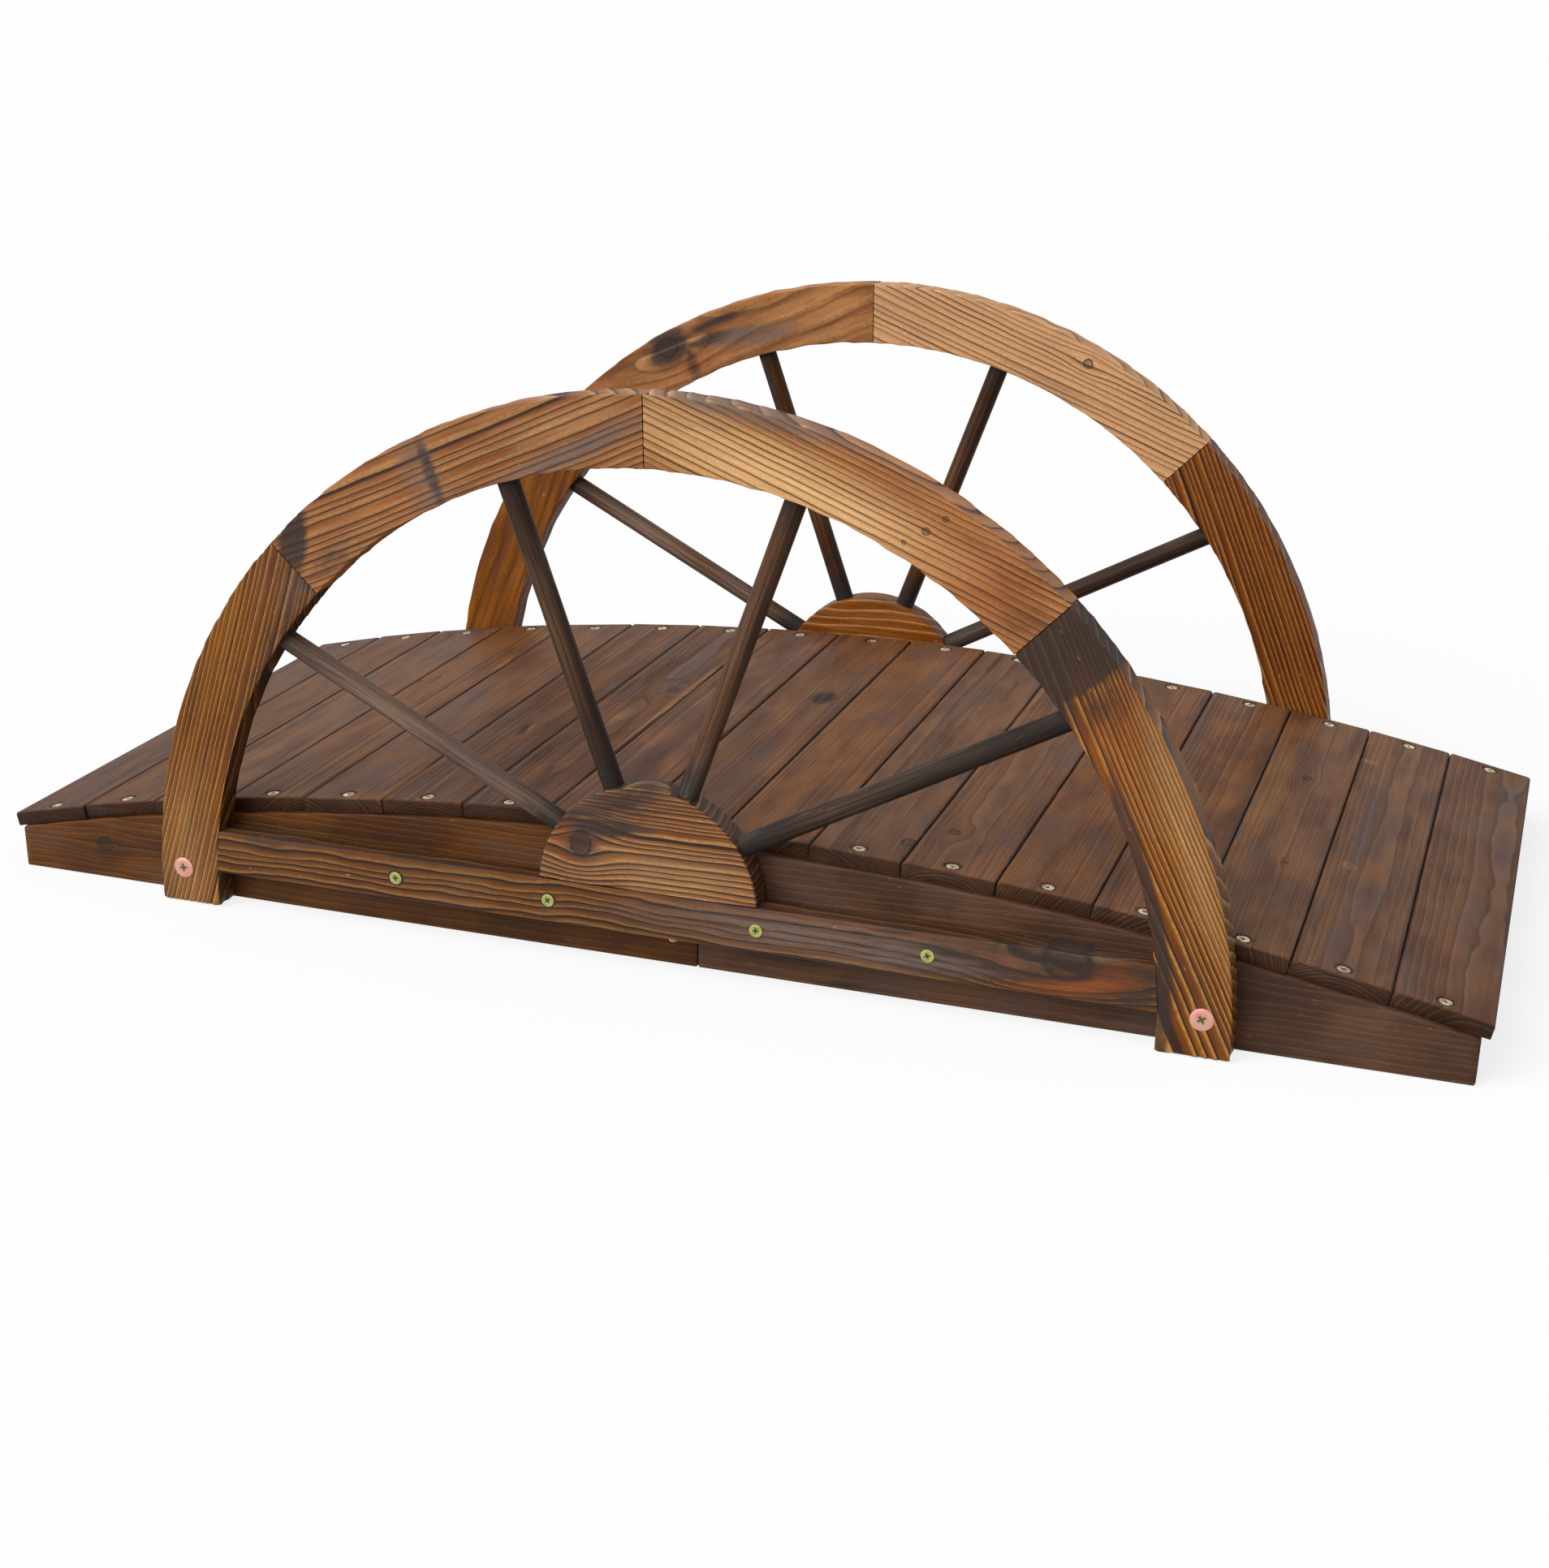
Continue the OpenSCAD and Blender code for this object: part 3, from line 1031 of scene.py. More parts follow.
# By board number, from the left. Places are along the bridge and across it, from the board's middle.
BOARD_KNOTS = {
    4: (Knot(-40, 87, 5), Knot(-20, 102, 4)),
    7: (Knot(22, 68, 7),),
    11: (Knot(38, -286, 8, 0.6),),
    12: (Knot(-19, -239, 6, 0.5),),
    15: (Knot(0, 127, 6), Knot(10, -118, 4)),
    16: (Knot(-22, -80, 3, 0.4),),
}
# Pith, ring width and waviness of the boards whose rings are given one by one.
BOARD_CUTS = {15: ((-85.0, 40.0), 3.6, 0.4), 17: ((28.0, 20.0), 6.5, 0.6)}
# Lightness, warmth and strength of the rings in the left, middle and right boards.
DECK_THIRDS = ((0.9, 1.14, 1.0), (1.14, 1.06, 0.85), (1.01, 1.06, 0.85))
BOARD_MARKS = {
    3: (Patch(CHAR, -20, 300, 12, 50, 0, 0.5, 0.7), Patch(SCUFF, 14, 270, 12, 60, 0, 0.8)),
    4: (Patch(GOLD, 40, 150, 2.4, 26), Patch(CHAR, 10, -40, 8, 90, 0, 0.4, 0.8)),
    5: (
        Patch(GOLD, 42, -280, 3, 60),
        Patch(SCUFF, -24, -4, 13, 80, 3, 1, 0.6),
        Patch(CHAR, -20, 20, 9, 60, 3, 0.5, 0.7),
        Patch(SCUFF, 0, -250, 10, 36, 0, 0.9, 0.6),
        Patch(GOLD, -12, 62, 3, 30, 4, 0.5, 0.6),
    ),
    6: (
        Patch(GOLD, -42, -225, 3, 70, 0, 0.6),
        Patch(CHAR, 3, -96, 6, 26, 4, 0.75, 0.6),
        Patch(GOLD, 9, -92, 1.8, 14, 4),
        Patch(CHAR, 30, -240, 12, 70, 0, 0.4, 0.8),
    ),
    7: (
        Patch(GOLD, 40, 20, 3.5, 150),
        Patch(SCUFF, 10, 150, 16, 90, 0, 0.8),
        Patch(CHAR, -20, 150, 13, 90, 0, 0.55, 0.7),
        Patch(CHAR, -28, -172, 12, 80, 0, 0.45, 0.8),
        Patch(GOLD, 0, -36, 9, 22, -14, 0.45, 0.7),
    ),
    9: (Patch(CHAR, 13, 87, 13, 22, 0, 0.9, 0.5),),
    11: (Patch(GOLD, 42, 130, 3, 50, 0, 0.8),),
    12: (Patch(GOLD, -40, 200, 4, 50, 0, 0.7), Patch(GOLD, -19, -236, 6, 3)),
    15: (Patch(GOLD, -28, 60, 12, 150, 0, 0.35),),
    16: (
        Patch(GOLD, -22, -80, 7, 2.6, 10),
        Patch(GOLD, -34, 230, 8, 2.4, -8),
        Patch(SCUFF, -18, 20, 7, 120, 0, 0.9),
        Patch(SCUFF, -12, -250, 9, 70, 0, 0.9),
    ),
    17: (Patch(SCUFF, 30, 85, 8, 60, 0, 0.9), Patch(SCUFF, 24, 240, 12, 60, 0, 0.9)),
}
STRINGER_TONES = {Half.LEFT: Tone(0.96, 1.12, 0.03), Half.RIGHT: Tone(0.93, 0.9, 0.0, 0.65)}
STRINGER_KNOTS = {
    (Side.NEAR, Half.LEFT): (Knot(-638, 38, 8), Knot(-300, 60, 6)),
    (Side.NEAR, Half.RIGHT): (Knot(520, 50, 7),),
    (Side.FAR, Half.LEFT): (Knot(-420, 48, 8),),
    (Side.FAR, Half.RIGHT): (Knot(380, 48, 8),),
}


@dataclass
class Deck:
    """Seventeen flat boards across the arch, in millimetres."""

    yard: Yard
    board_count: int = 17
    board_w: float = 88.0
    board_t: float = 15.0
    seam: float = 0.6
    shown_seam: float = -0.1
    seat_r: float = 3325.1
    top_edge: float = 3.4
    low_edge: float = 1.0
    end_ease: float = 1.6
    stagger: float = 1.8
    screw_in: float = 16.0
    pocket_r: float = 9.2
    pocket_floor_r: float = 6.8
    pocket_depth: float = 1.1
    fine_end: float = 34.0
    fine_step: float = 2.2
    long_step: float = 10.0
    section_steps: Triple = (2.2, 6.0, 3.0)
    first_seed: int = 31
    top_skin: float = 0.1
    hole_mark_r: float = 9.0
    # Width of the painted shadow along each seam.
    seam_shadow_w: float = 1.7
    third: int = 7
    pith_spread: float = 110.0
    pith_depths: Pair = (30.0, 55.0)
    ring_widths: Pair = (3.4, 0.8)
    waver: float = 0.4
    tone_spread: float = 0.08
    fade_spread: float = 0.06

    CHANCE_SEED = 11

    def chance(self, index: int) -> Vector:
        """Three fixed values of -1 to 1 for a board."""
        noise.seed_set(index + self.CHANCE_SEED)
        return noise.random_vector()

    def lie(self, index: int) -> Matrix:
        """Place of a board: its underside's middle is its own origin, with X along the bridge."""
        low, _ = node_box("deck_board_09")
        step = (self.board_w + self.seam) / self.seat_r
        angle = (index - (self.board_count - 1) / 2) * step
        shift = Matrix.Translation((0, self.stagger * self.chance(index).x, self.seat_r))
        return Matrix.Translation((0, 0, low.z - self.seat_r)) @ Matrix.Rotation(angle, 4, "Y") @ shift

    def screw_rows(self, index: int) -> Pair:
        """Places along a board of its near and far screw."""
        low, high = node_box(f"deck_board_{index + 1:02d}")
        return low.y + self.screw_in, high.y - self.screw_in

    def build(self) -> None:
        """Makes all the boards."""
        for index in range(self.board_count):
            self.board(index)

    def shape(self, low: Vector, length: float, rows: Pair) -> Stock:
        """Shapes a board, swept along Y from its near end, with a pocket for each screw.

        Args:
            low: Lowest corner of its node.
            length: Length between the eased ends.
            rows: Places of its screws.

        Returns:
            The shaped timber.
        """
        stock = Stock()
        start = Vector((0.0, low.y + self.end_ease, self.board_t / 2))
        stock.section(
            (self.board_w + self.seam - self.shown_seam, self.board_t),
            (self.low_edge, self.top_edge),
            self.section_steps,
            Matrix.Translation(start) @ SECTION_XZ,
        )
        fine, long = self.fine_end, length - 2 * self.fine_end
        for run, step in ((fine, self.fine_step), (long, self.long_step), (fine, self.fine_step)):
            stock.run(Y_AXIS * run, round(run / step))
        stock.close(Y_AXIS, self.end_ease)
        for vert in stock.bm.verts:
            if vert.co.z > self.board_t - self.top_skin:
                gap = min(math.hypot(vert.co.x, vert.co.y - row) for row in rows)
                slope = (self.pocket_r - gap) / (self.pocket_r - self.pocket_floor_r)
                vert.co.z -= self.pocket_depth * min(1.0, max(0.0, slope))
        return stock

    def board(self, index: int) -> None:
        """Makes one board, with painted shadow in its seams and darkened wood round its screws."""
        number = index + 1
        node = f"deck_board_{number:02d}"
        low, high = node_box(node)
        length = high.y - low.y - 2 * self.end_ease
        rows = self.screw_rows(index)
        stock = self.shape(low, length, rows)
        chance = self.chance(index)
        own_pith = (chance.x * self.pith_spread, self.pith_depths[0] + self.pith_depths[1] * abs(chance.y))
        own_ring = self.ring_widths[0] + self.ring_widths[1] * chance.z
        pith, ring, waver = BOARD_CUTS.get(number, (own_pith, own_ring, self.waver))
        cut = Cut(Y_AXIS, X_AXIS, pith, ring, index + self.first_seed, waver=waver)
        side = (self.board_w + self.seam - self.shown_seam) / 2
        hole, seam = self.hole_mark_r, self.seam_shadow_w
        dark = tuple(Patch(CHAR, 0, row, hole, hole, 0, 0.8, 0.25) for row in rows)
        # Painted shadow: dark bands along both long edges, where the seams lie in shade.
        dark += tuple(Patch(CHAR, x, 0, seam, length, 0, 0.78, 0.4) for x in (-side, side))
        light, warmth, contrast = DECK_THIRDS[index // self.third]
        light, warmth = light + self.tone_spread * chance.z, warmth + self.tone_spread * chance.x
        tone = Tone(light, warmth, self.fade_spread * chance.y, contrast)
        knots, marks = BOARD_KNOTS.get(number, ()), dark + BOARD_MARKS.get(number, ())
        place = self.lie(index)
        self.yard.saw(node, stock, cut, DECK_WOOD, DECK_RELIEF, tone, FACE_XY, knots, marks, place)


@dataclass
class Stringers:
    """The two arch-topped side beams, each in two halves, and the blocks that splice them."""

    yard: Yard
    arch_r: float = 3325.0
    crown: float = 127.3
    ease: float = 1.6
    draft_h: float = 100.0
    beam_step: float = 7.0
    beam_steps: Triple = (5.0, 6.0, 3.2)
    beam_pith: Pair = (-120.0, 40.0)
    beam_ring: float = 7.0
    beam_seed: int = 61
    beam_core_z: float = 60.0
    block_step: float = 6.0
    block_steps: Triple = (5.0, 5.0, 4.0)
    block_pith: Pair = (90.0, 30.0)
    block_ring: float = 6.0
    block_seed: int = 71

    def top(self, x: float) -> float:
        """Height of the arch over the ground."""
        return self.crown - self.arch_r + math.sqrt(self.arch_r**2 - x**2)

    def build(self) -> None:
        """Makes both beams."""
        for side in Side:
            for half in Half:
                self.beam(side, half)
            self.splice(side)

    def beam(self, side: Side, half: Half) -> None:
        """Makes one half of a beam: a straight bar whose upper part is then raised to the arch."""
        node = f"{side.value}_stringer_{half.value}"
        low, high = node_box(node)
        low.z, high.z = 0.0, self.draft_h
        stock = Stock()
        start = stock.bar((low, high), self.ease, self.beam_steps, self.beam_step, self.ease)
        corner = 2 * self.ease
        for vert in stock.bm.verts:
            top = self.top(vert.co.x)
            if vert.co.z > self.draft_h - corner:
                vert.co.z += top - self.draft_h
            elif vert.co.z > corner:
                vert.co.z = corner + (vert.co.z - corner) * (top - 2 * corner) / (self.draft_h - 2 * corner)
        seed = self.beam_seed + 2 * list(Side).index(side) + list(Half).index(half)
        core = Vector((0.0, start.y, self.beam_core_z))
        cut = Cut(X_AXIS, Z_AXIS, self.beam_pith, self.beam_ring, seed, core)
        tone, knots = STRINGER_TONES[half], STRINGER_KNOTS[side, half]
        self.yard.saw(node, stock, cut, STRINGER_WOOD, STRINGER_RELIEF, tone, FACE_XZ, knots)

    def splice(self, side: Side) -> None:
        """Makes the block over the joint on the inner face of a beam."""
        node = f"{side.value}_splice_block"
        stock = Stock()
        start = stock.bar(node_box(node), self.ease, self.block_steps, self.block_step, self.ease)
        seed = self.block_seed + list(Side).index(side)
        cut = Cut(X_AXIS, Z_AXIS, self.block_pith, self.block_ring, seed, start)
        self.yard.saw(node, stock, cut, STRINGER_WOOD, BLOCK_RELIEF, Tone(0.95), FACE_XZ)


@dataclass(frozen=True)
class Felloe:
    """One rim segment's place round the wheel and its timber."""

    name: str
    start: float
    end: float
    pith: Pair
    ring: float
    seed: int
    tone: Tone
    knots: tuple[Knot, ...] = ()
    patches: tuple[Patch, ...] = ()
    slew: float = 0.0
    waver: float = 0.45
    crowd: float = 0.0


NEAR_FELLOES = (
    Felloe(
        "right_lower", 0, 45.8, (-190, 30), 4.9, 3, Tone(0.66, 1.2, 0, 1.8, 0.495, 0.42),
        patches=(
            Patch(CHAR, 378, 353, 52, 25, 42, 1.5, 0.4, 3),
            Patch(CHAR, 358, 356, 54, 44, 43, 1.05, 0.5),
            Patch(CHAR, 352, 322, 26, 44, 43, 0.85, 0.6),
            Patch(CHAR, 408, 352, 30, 30, 30, 0.5, 0.7),
            Patch(CHAR, 402, 312, 46, 30, 40, 0.56, 0.8),
            Patch(EMBER, 416, 300, 34, 22, 40, 0.45, 0.7),
            Patch(CHAR, 446, 165, 120, 9, -71, 0.8),
            Patch(CHAR, 471, 45, 55, 11, 94, 0.75),
            Patch(EMBER, 428, 240, 80, 14, -66, 0.35, 0.7),
            Patch(GOLD, 484, 205, 110, 12, -69, 0.32, 0.7),
        ),
        slew=3,
        waver=0.3,
        crowd=0.38,
    ),
    Felloe(
        "right_upper", 45.8, 90.8, (260, -40), 6.3, 4, Tone(0.92, 1.04, 0.04),
        knots=(Knot(260, 465, 2.6, 0.4), Knot(243, 453, 3.2, 0.4), Knot(224, 442, 2, 0.4)),
        patches=(
            Patch(GOLD, 120, 482, 130, 24, -20, 0.9, 0.6),
            Patch(SCUFF, 70, 545, 110, 9, -12, 0.8, 0.5),
            Patch(CHAR, 30, 530, 60, 8, -4, 0.4, 0.6),
            Patch(CHAR, 330, 385, 56, 40, -45, 0.42, 0.7),
            Patch(EMBER, 285, 425, 110, 36, -42, 0.75, 0.7),
        ),
    ),
    Felloe(
        "left_upper", 90.8, 135.8, (230, 50), 7.2, 5, Tone(0.81, 1.05, 0, 0.95, 0.497),
        patches=(
            Patch(CHAR, -226, 470, 7, 40, 20, 0.8, 0.6),
            Patch(SCUFF, -236, 470, 16, 42, 20, 0.7, 0.6),
            Patch(SCUFF, -85, 497, 80, 9, 26, 0.9, 0.5),
            Patch(CHAR, -372, 392, 14, 30, -5, 1.1, 0.5, 3),
            Patch(CHAR, -330, 380, 45, 16, 30, 0.55, 0.7),
            Patch(GOLD, -90, 525, 50, 10, 22, 0.25, 0.6),
        ),
        waver=0.4,
    ),
    Felloe(
        "left_lower", 135.8, 180, (-210, -40), 5.6, 6, Tone(0.55, 1.17, 0, 0.95, 0.496, 0.95),
        patches=(
            Patch(CHAR, -350, 366, 30, 15, 45, 0.85, 0.6),
            Patch(CHAR, -398, 290, 110, 20, 58, 0.55, 0.8),
            Patch(SCUFF, -372, 352, 30, 16, 50, 0.5, 0.7),
            Patch(GOLD, -520, 40, 28, 80, 0, 0.24, 0.8),
        ),
        slew=4,
        waver=0.35,
    ),
)
FAR_FELLOES = (
    Felloe("right_lower", 0, 45.8, (-230, 30), 6, 7, Tone(0.52, 1.2, 0, 1.5, 0.488, 0.5), waver=0.3),
    Felloe(
        "right_upper", 45.8, 90.8, (280, 40), 6.4, 8, Tone(1.2, 0.92, 0.2, 0.75, 0.504),
        knots=(Knot(233, 478, 5),),
    ),
    Felloe(
        "left_upper", 90.8, 135.8, (60, 110), 13, 9, Tone(0.87, 1.02, 0, 0.35, 0.5),
        knots=(Knot(-266, 468, 12, 1.4),),
        patches=(
            Patch(CHAR, -266, 468, 30, 24, 30, 1, 0.6),
            Patch(CHAR, -236, 456, 9, 26, 20, 0.7, 0.6),
            Patch(CHAR, -212, 480, 46, 8, 18, 0.75, 0.6),
            Patch(CHAR, -206, 502, 60, 6, 24, 0.6, 0.7),
            Patch(SCUFF, -160, 488, 52, 10, 12, 0.9, 0.5),
            Patch(EMBER, -250, 440, 40, 12, 32, 0.5, 0.7),
        ),
    ),
    Felloe("left_lower", 135.8, 180, (90, 120), 13, 10, Tone(0.5, 1.2, 0, 0.4, 0.493, 0.3)),
)
# Near spokes: their lightness differs partly as painted light and shade, the first lightest as if lit on
# its upper side.
NEAR_SPOKES = (
    Tone(1.17, 0.92),
    Tone(0.4, 1.05, 0.0, 0.5),
    Tone(0.92, 1.2, 0.0, 0.8),
    Tone(0.22, 0.95, 0.0, 0.5),
)
FAR_SPOKES = (Tone(0.8, 1.25), Tone(0.55, 1.4), Tone(0.55, 1.4), Tone(0.44, 1.2))

# Of the hubs: pith, ring width, seed, waviness and crowding of the rings.
HUB_CUTS = {
    Side.NEAR: ((194.4, 20.0), 6.0, 13, 0.5, 0.2),
    Side.FAR: ((-60.0, 40.0), 11.0, 14, 0.7, 0.0),
}
HUB_TONES = {
    Side.NEAR: Tone(0.63, 1.08, -0.02, 2.2, 0.495, 0.95),
    Side.FAR: Tone(0.67, 1.14, 0.0, 0.3, 0.495, 0.6),
}
HUB_KNOTS = {Side.NEAR: (Knot(-82, 124, 12.5, 1.1, 0.8),), Side.FAR: ()}
HUB_MARKS = {
    Side.NEAR: (
        Patch(CHAR, -50, 168, 84, 20, 14, 0.62, 0.7),
        Patch(CHAR, 0, 190, 70, 9, 0, 0.55, 0.6),
        Patch(CHAR, -62, 143, 46, 9, 4, 1, 0.6),
        Patch(CHAR, -82, 122, 27, 22, 0, 0.72, 0.8),
        Patch(CHAR, -98, 150, 26, 18, 40, 0.7, 0.7),
        Patch(EMBER, -100, 134, 16, 10, 60, 0.5, 0.7),
        Patch(GOLD, 20, 104, 80, 20, 0, 0.2, 0.7),
    ),
    Side.FAR: (),
}
RAIL_TONE = Tone(0.37, 1.16, 0.0, 1.9, 0.495, 0.75)
RAIL_KNOTS = {Side.NEAR: (Knot(386, 74, 17, 1.6, 0.35),), Side.FAR: (Knot(-250, 60, 9),)}
RAIL_MARKS = {
    Side.NEAR: (
        Patch(CHAR, 386, 76, 26, 14, 0, 1.2, 0.35),
        Patch(EMBER, 398, 54, 44, 11, 12, 0.8, 0.6),
        Patch(EMBER, 330, 66, 26, 6, -18, 0.4, 0.7),
        Patch(SCUFF, 398, 86, 40, 8, 0, 0.8, 0.5),
        Patch(CHAR, 345, 62, 170, 26, 0, 0.72, 0.6),
        Patch(SCUFF, 150, 64, 150, 18, 0, 0.85, 0.6),
        Patch(SCUFF, 225, 56, 80, 10, 0, 1, 0.6),
        Patch(CHAR, 450, 60, 34, 24, 0, 0.6),
        Patch(CHAR, -400, 80, 90, 16, 0, 0.4, 0.6),
    ),
    Side.FAR: (),
}


@dataclass
class HalfWheel:
    """Half a wagon wheel that stands beside the deck: felloes, hub, spokes and base rail."""

    yard: Yard
    side: Side
    felloes: tuple[Felloe, ...]
    spoke_tones: tuple[Tone, ...]
    rim_r: float = 545.0
    rim_w: float = 70.0
    centre: Pair = (-8.0, 10.0)
    joint_lap: float = 0.18
    joint_ease: float = 0.5
    ease: float = 2.2
    saw_wave: float = 2.2
    saw_pitch: Pair = (0.045, 0.012)
    saw_seed_step: float = 9.0
    saw_edge: Pair = (0.7, 0.2)
    face_step: float = 1.05
    edge_step: float = 2.5
    rim_step: float = 2.4
    foot_steps: int = 3
    hub_r: float = 111.0
    hub_drop: float = 7.0
    hub_core: float = 50.0
    hub_steps: Pair = (1.25, 1.95)
    spoke_d: float = 21.0
    spoke_angles: tuple[float, ...] = (152.0, 109.5, 70.5, 28.0)
    spoke_rises: tuple[float, ...] = (5.0, -8.0, -8.0, 5.0)
    # How strongly each spoke is greyed: partly scuffing, partly a painted sheen.
    spoke_rubs_and_sheen: tuple[float, ...] = (0.95, 0.05, 0.15, 0.1)
    spoke_sink: float = 5.0
    spoke_sides: int = 22
    spoke_pith: Pair = (20.0, 12.0)
    spoke_ring: float = 4.0
    spoke_seed: int = 40
    spoke_step: float = 5.0
    spoke_lump: float = 0.025
    spoke_lump_pitch: Pair = (0.06, 0.008)
    spoke_seed_step: float = 5.0
    spoke_thin: float = 0.4
    rail_step: float = 1.7
    rail_depth_step: float = 3.0
    rail_long_step: float = 4.0
    rail_pith: Pair = (100.0, 60.0)
    rail_ring: float = 8.6
    rail_waver: float = 1.1
    rail_seed: int = 17
    rail_screws: tuple[float, ...] = (-281.0, -117.5, 94.0, 259.0)
    rail_screw_z: float = 61.0
    rail_hole_r: float = 8.0
    rail_lap: float = 2.4

    def __post_init__(self) -> None:
        """Reads the wheel's place off the frame."""
        low, high = node_box(f"{self.side.value}_hub")
        _, rail_high = node_box(f"{self.side.value}_base_rail")
        self.near = self.side is Side.NEAR
        self.finer = 1.0 if self.near else 1.3
        self.inner_r = self.rim_r - self.rim_w
        self.y_low, self.y_high = low.y, high.y
        self.hub_x = (low.x + high.x) / 2
        self.rail_top = rail_high.z
        self.middle = Vector((self.centre[0], (low.y + high.y) / 2, self.centre[1]))
        self.hub_middle = Vector((self.hub_x, self.middle.y, self.rail_top - self.hub_drop))

    def build(self) -> None:
        """Makes the whole wheel."""
        for felloe in self.felloes:
            self.rim(felloe)
        self.hub()
        self.rail()
        for index in range(len(self.spoke_angles)):
            self.spoke(index)

    def rim(self, felloe: Felloe) -> None:
        """Makes one rim segment: a section turned about the wheel's axis, and run down at a foot."""
        node = f"{self.side.value}_rim_{felloe.name}"
        mean = self.inner_r + self.rim_w / 2
        low_foot, high_foot = felloe.start == 0.0, felloe.end == 180.0
        lap = math.degrees(self.joint_lap / 2 / mean)
        start = felloe.start - (0.0 if low_foot else lap)
        end = felloe.end + (0.0 if high_foot else lap)
        trim = self.joint_ease / mean
        face = self.face_step * self.finer
        stock = Stock()
        swing = Matrix.Rotation(-math.radians(start) - (0.0 if low_foot else trim), 4, "Y")
        stock.section(
            (self.rim_w, self.y_high - self.y_low),
            (self.ease, self.ease),
            (face, face, self.edge_step),
            Matrix.Translation(self.middle) @ swing @ Matrix.Translation((mean, 0, 0)),
        )
        sweep = math.radians(end - start) - (trim if low_foot or high_foot else 2 * trim)
        stock.turn(self.middle, sweep, round(sweep * mean / (self.rim_step * self.finer)))
        self.saw_edges(stock, felloe.seed)
        foot = Vector((0.0, 0.0, -(self.middle.z - self.ease)))
        back, ahead = self.tangent(start), self.tangent(end)
        if low_foot:
            stock.cap(stock.last, ahead, self.joint_ease, sweep, True)
            stock.last = stock.first
            stock.run(foot, self.foot_steps)
            stock.cap(stock.last, -Z_AXIS, self.ease)
        elif high_foot:
            stock.run(foot, self.foot_steps)
            stock.cap(stock.first, -back, self.joint_ease, flush=True)
            stock.cap(stock.last, -Z_AXIS, self.ease, sweep)
        else:
            stock.cap(stock.first, -back, self.joint_ease, flush=True)
            stock.cap(stock.last, ahead, self.joint_ease, sweep, True)
        chord = -self.tangent((felloe.start + felloe.end) / 2 + felloe.slew)
        radial = chord.cross(Y_AXIS)
        seat = self.middle + radial * mean
        cut = Cut(chord, radial, felloe.pith, felloe.ring, felloe.seed, seat, felloe.waver, felloe.crowd)
        tone, knots, patches = felloe.tone, felloe.knots, felloe.patches
        self.yard.saw(node, stock, cut, WHEEL_WOOD, RIM_RELIEF, tone, FACE_XZ, knots, patches)

    @staticmethod
    def tangent(degrees: float) -> Vector:
        """Direction round the wheel, towards growing angles."""
        angle = math.radians(degrees)
        return Vector((-math.sin(angle), 0.0, math.cos(angle)))

    def saw_edges(self, stock: Stock, seed: int) -> None:
        """Leaves the saw's wander on the two curved edges of a rim segment.

        Args:
            stock: The rim segment, swept and still open.
            seed: Which wander it gets.
        """
        for vert in stock.bm.verts:
            off = vert.co - self.middle
            radius = math.hypot(off.x, off.z)
            share = (radius - self.inner_r) / self.rim_w
            arc = math.atan2(off.z, off.x) * radius
            strip = seed * self.saw_seed_step + round(share)
            place = Vector((arc * self.saw_pitch[0], strip, off.y * self.saw_pitch[1]))
            rough = 0.5 + 0.5 * noise.noise(place)
            reach = min(1.0, max(0.0, abs(share - 0.5) * 2 - self.saw_edge[0]) / self.saw_edge[1])
            grow = 1.0 + math.copysign(self.saw_wave, 0.5 - share) * rough * reach / radius
            vert.co.x = self.middle.x + off.x * grow
            vert.co.z = self.middle.z + off.z * grow

    def hub(self) -> None:
        """Makes the half-round hub: half a section turned about the hub's axis and sawn off level."""
        step = self.hub_steps[0 if self.near else 1]
        middle = self.hub_middle
        stock = Stock()
        bm = stock.bm
        stock.section(
            (self.hub_r, self.y_high - self.y_low),
            (self.ease, self.ease),
            (step, step, self.edge_step),
            Matrix.Translation(middle) @ Matrix.Translation((self.hub_r / 2, 0, 0)),
        )
        spine = [e for e in bm.edges if all(v.co.x < middle.x + self.ease for v in e.verts)]
        bmesh.ops.delete(bm, geom=spine, context="EDGES")
        bmesh.ops.delete(bm, geom=[v for v in bm.verts if not v.link_edges], context="VERTS")
        stock.last = list(bm.edges)
        stock.turn(middle, math.pi, round(math.pi * self.hub_r / step))
        sawn = bmesh.ops.bisect_plane(
            bm,
            geom=[*bm.verts, *bm.edges, *bm.faces],
            dist=0.01,
            plane_co=(0, 0, self.rail_top),
            plane_no=(0, 0, 1),
            clear_inner=True,
        )
        bmesh.ops.holes_fill(bm, edges=edges_of(sawn["geom_cut"]))
        core = middle + Z_AXIS * self.hub_core
        pith, ring, seed, waver, crowd = HUB_CUTS[self.side]
        cut = Cut(X_AXIS, Z_AXIS, pith, ring, seed, core, waver, crowd)
        tone = HUB_TONES[self.side]
        node, knots, patches = f"{self.side.value}_hub", HUB_KNOTS[self.side], HUB_MARKS[self.side]
        self.yard.saw(node, stock, cut, WHEEL_WOOD, HUB_RELIEF, tone, FACE_XZ, knots, patches)

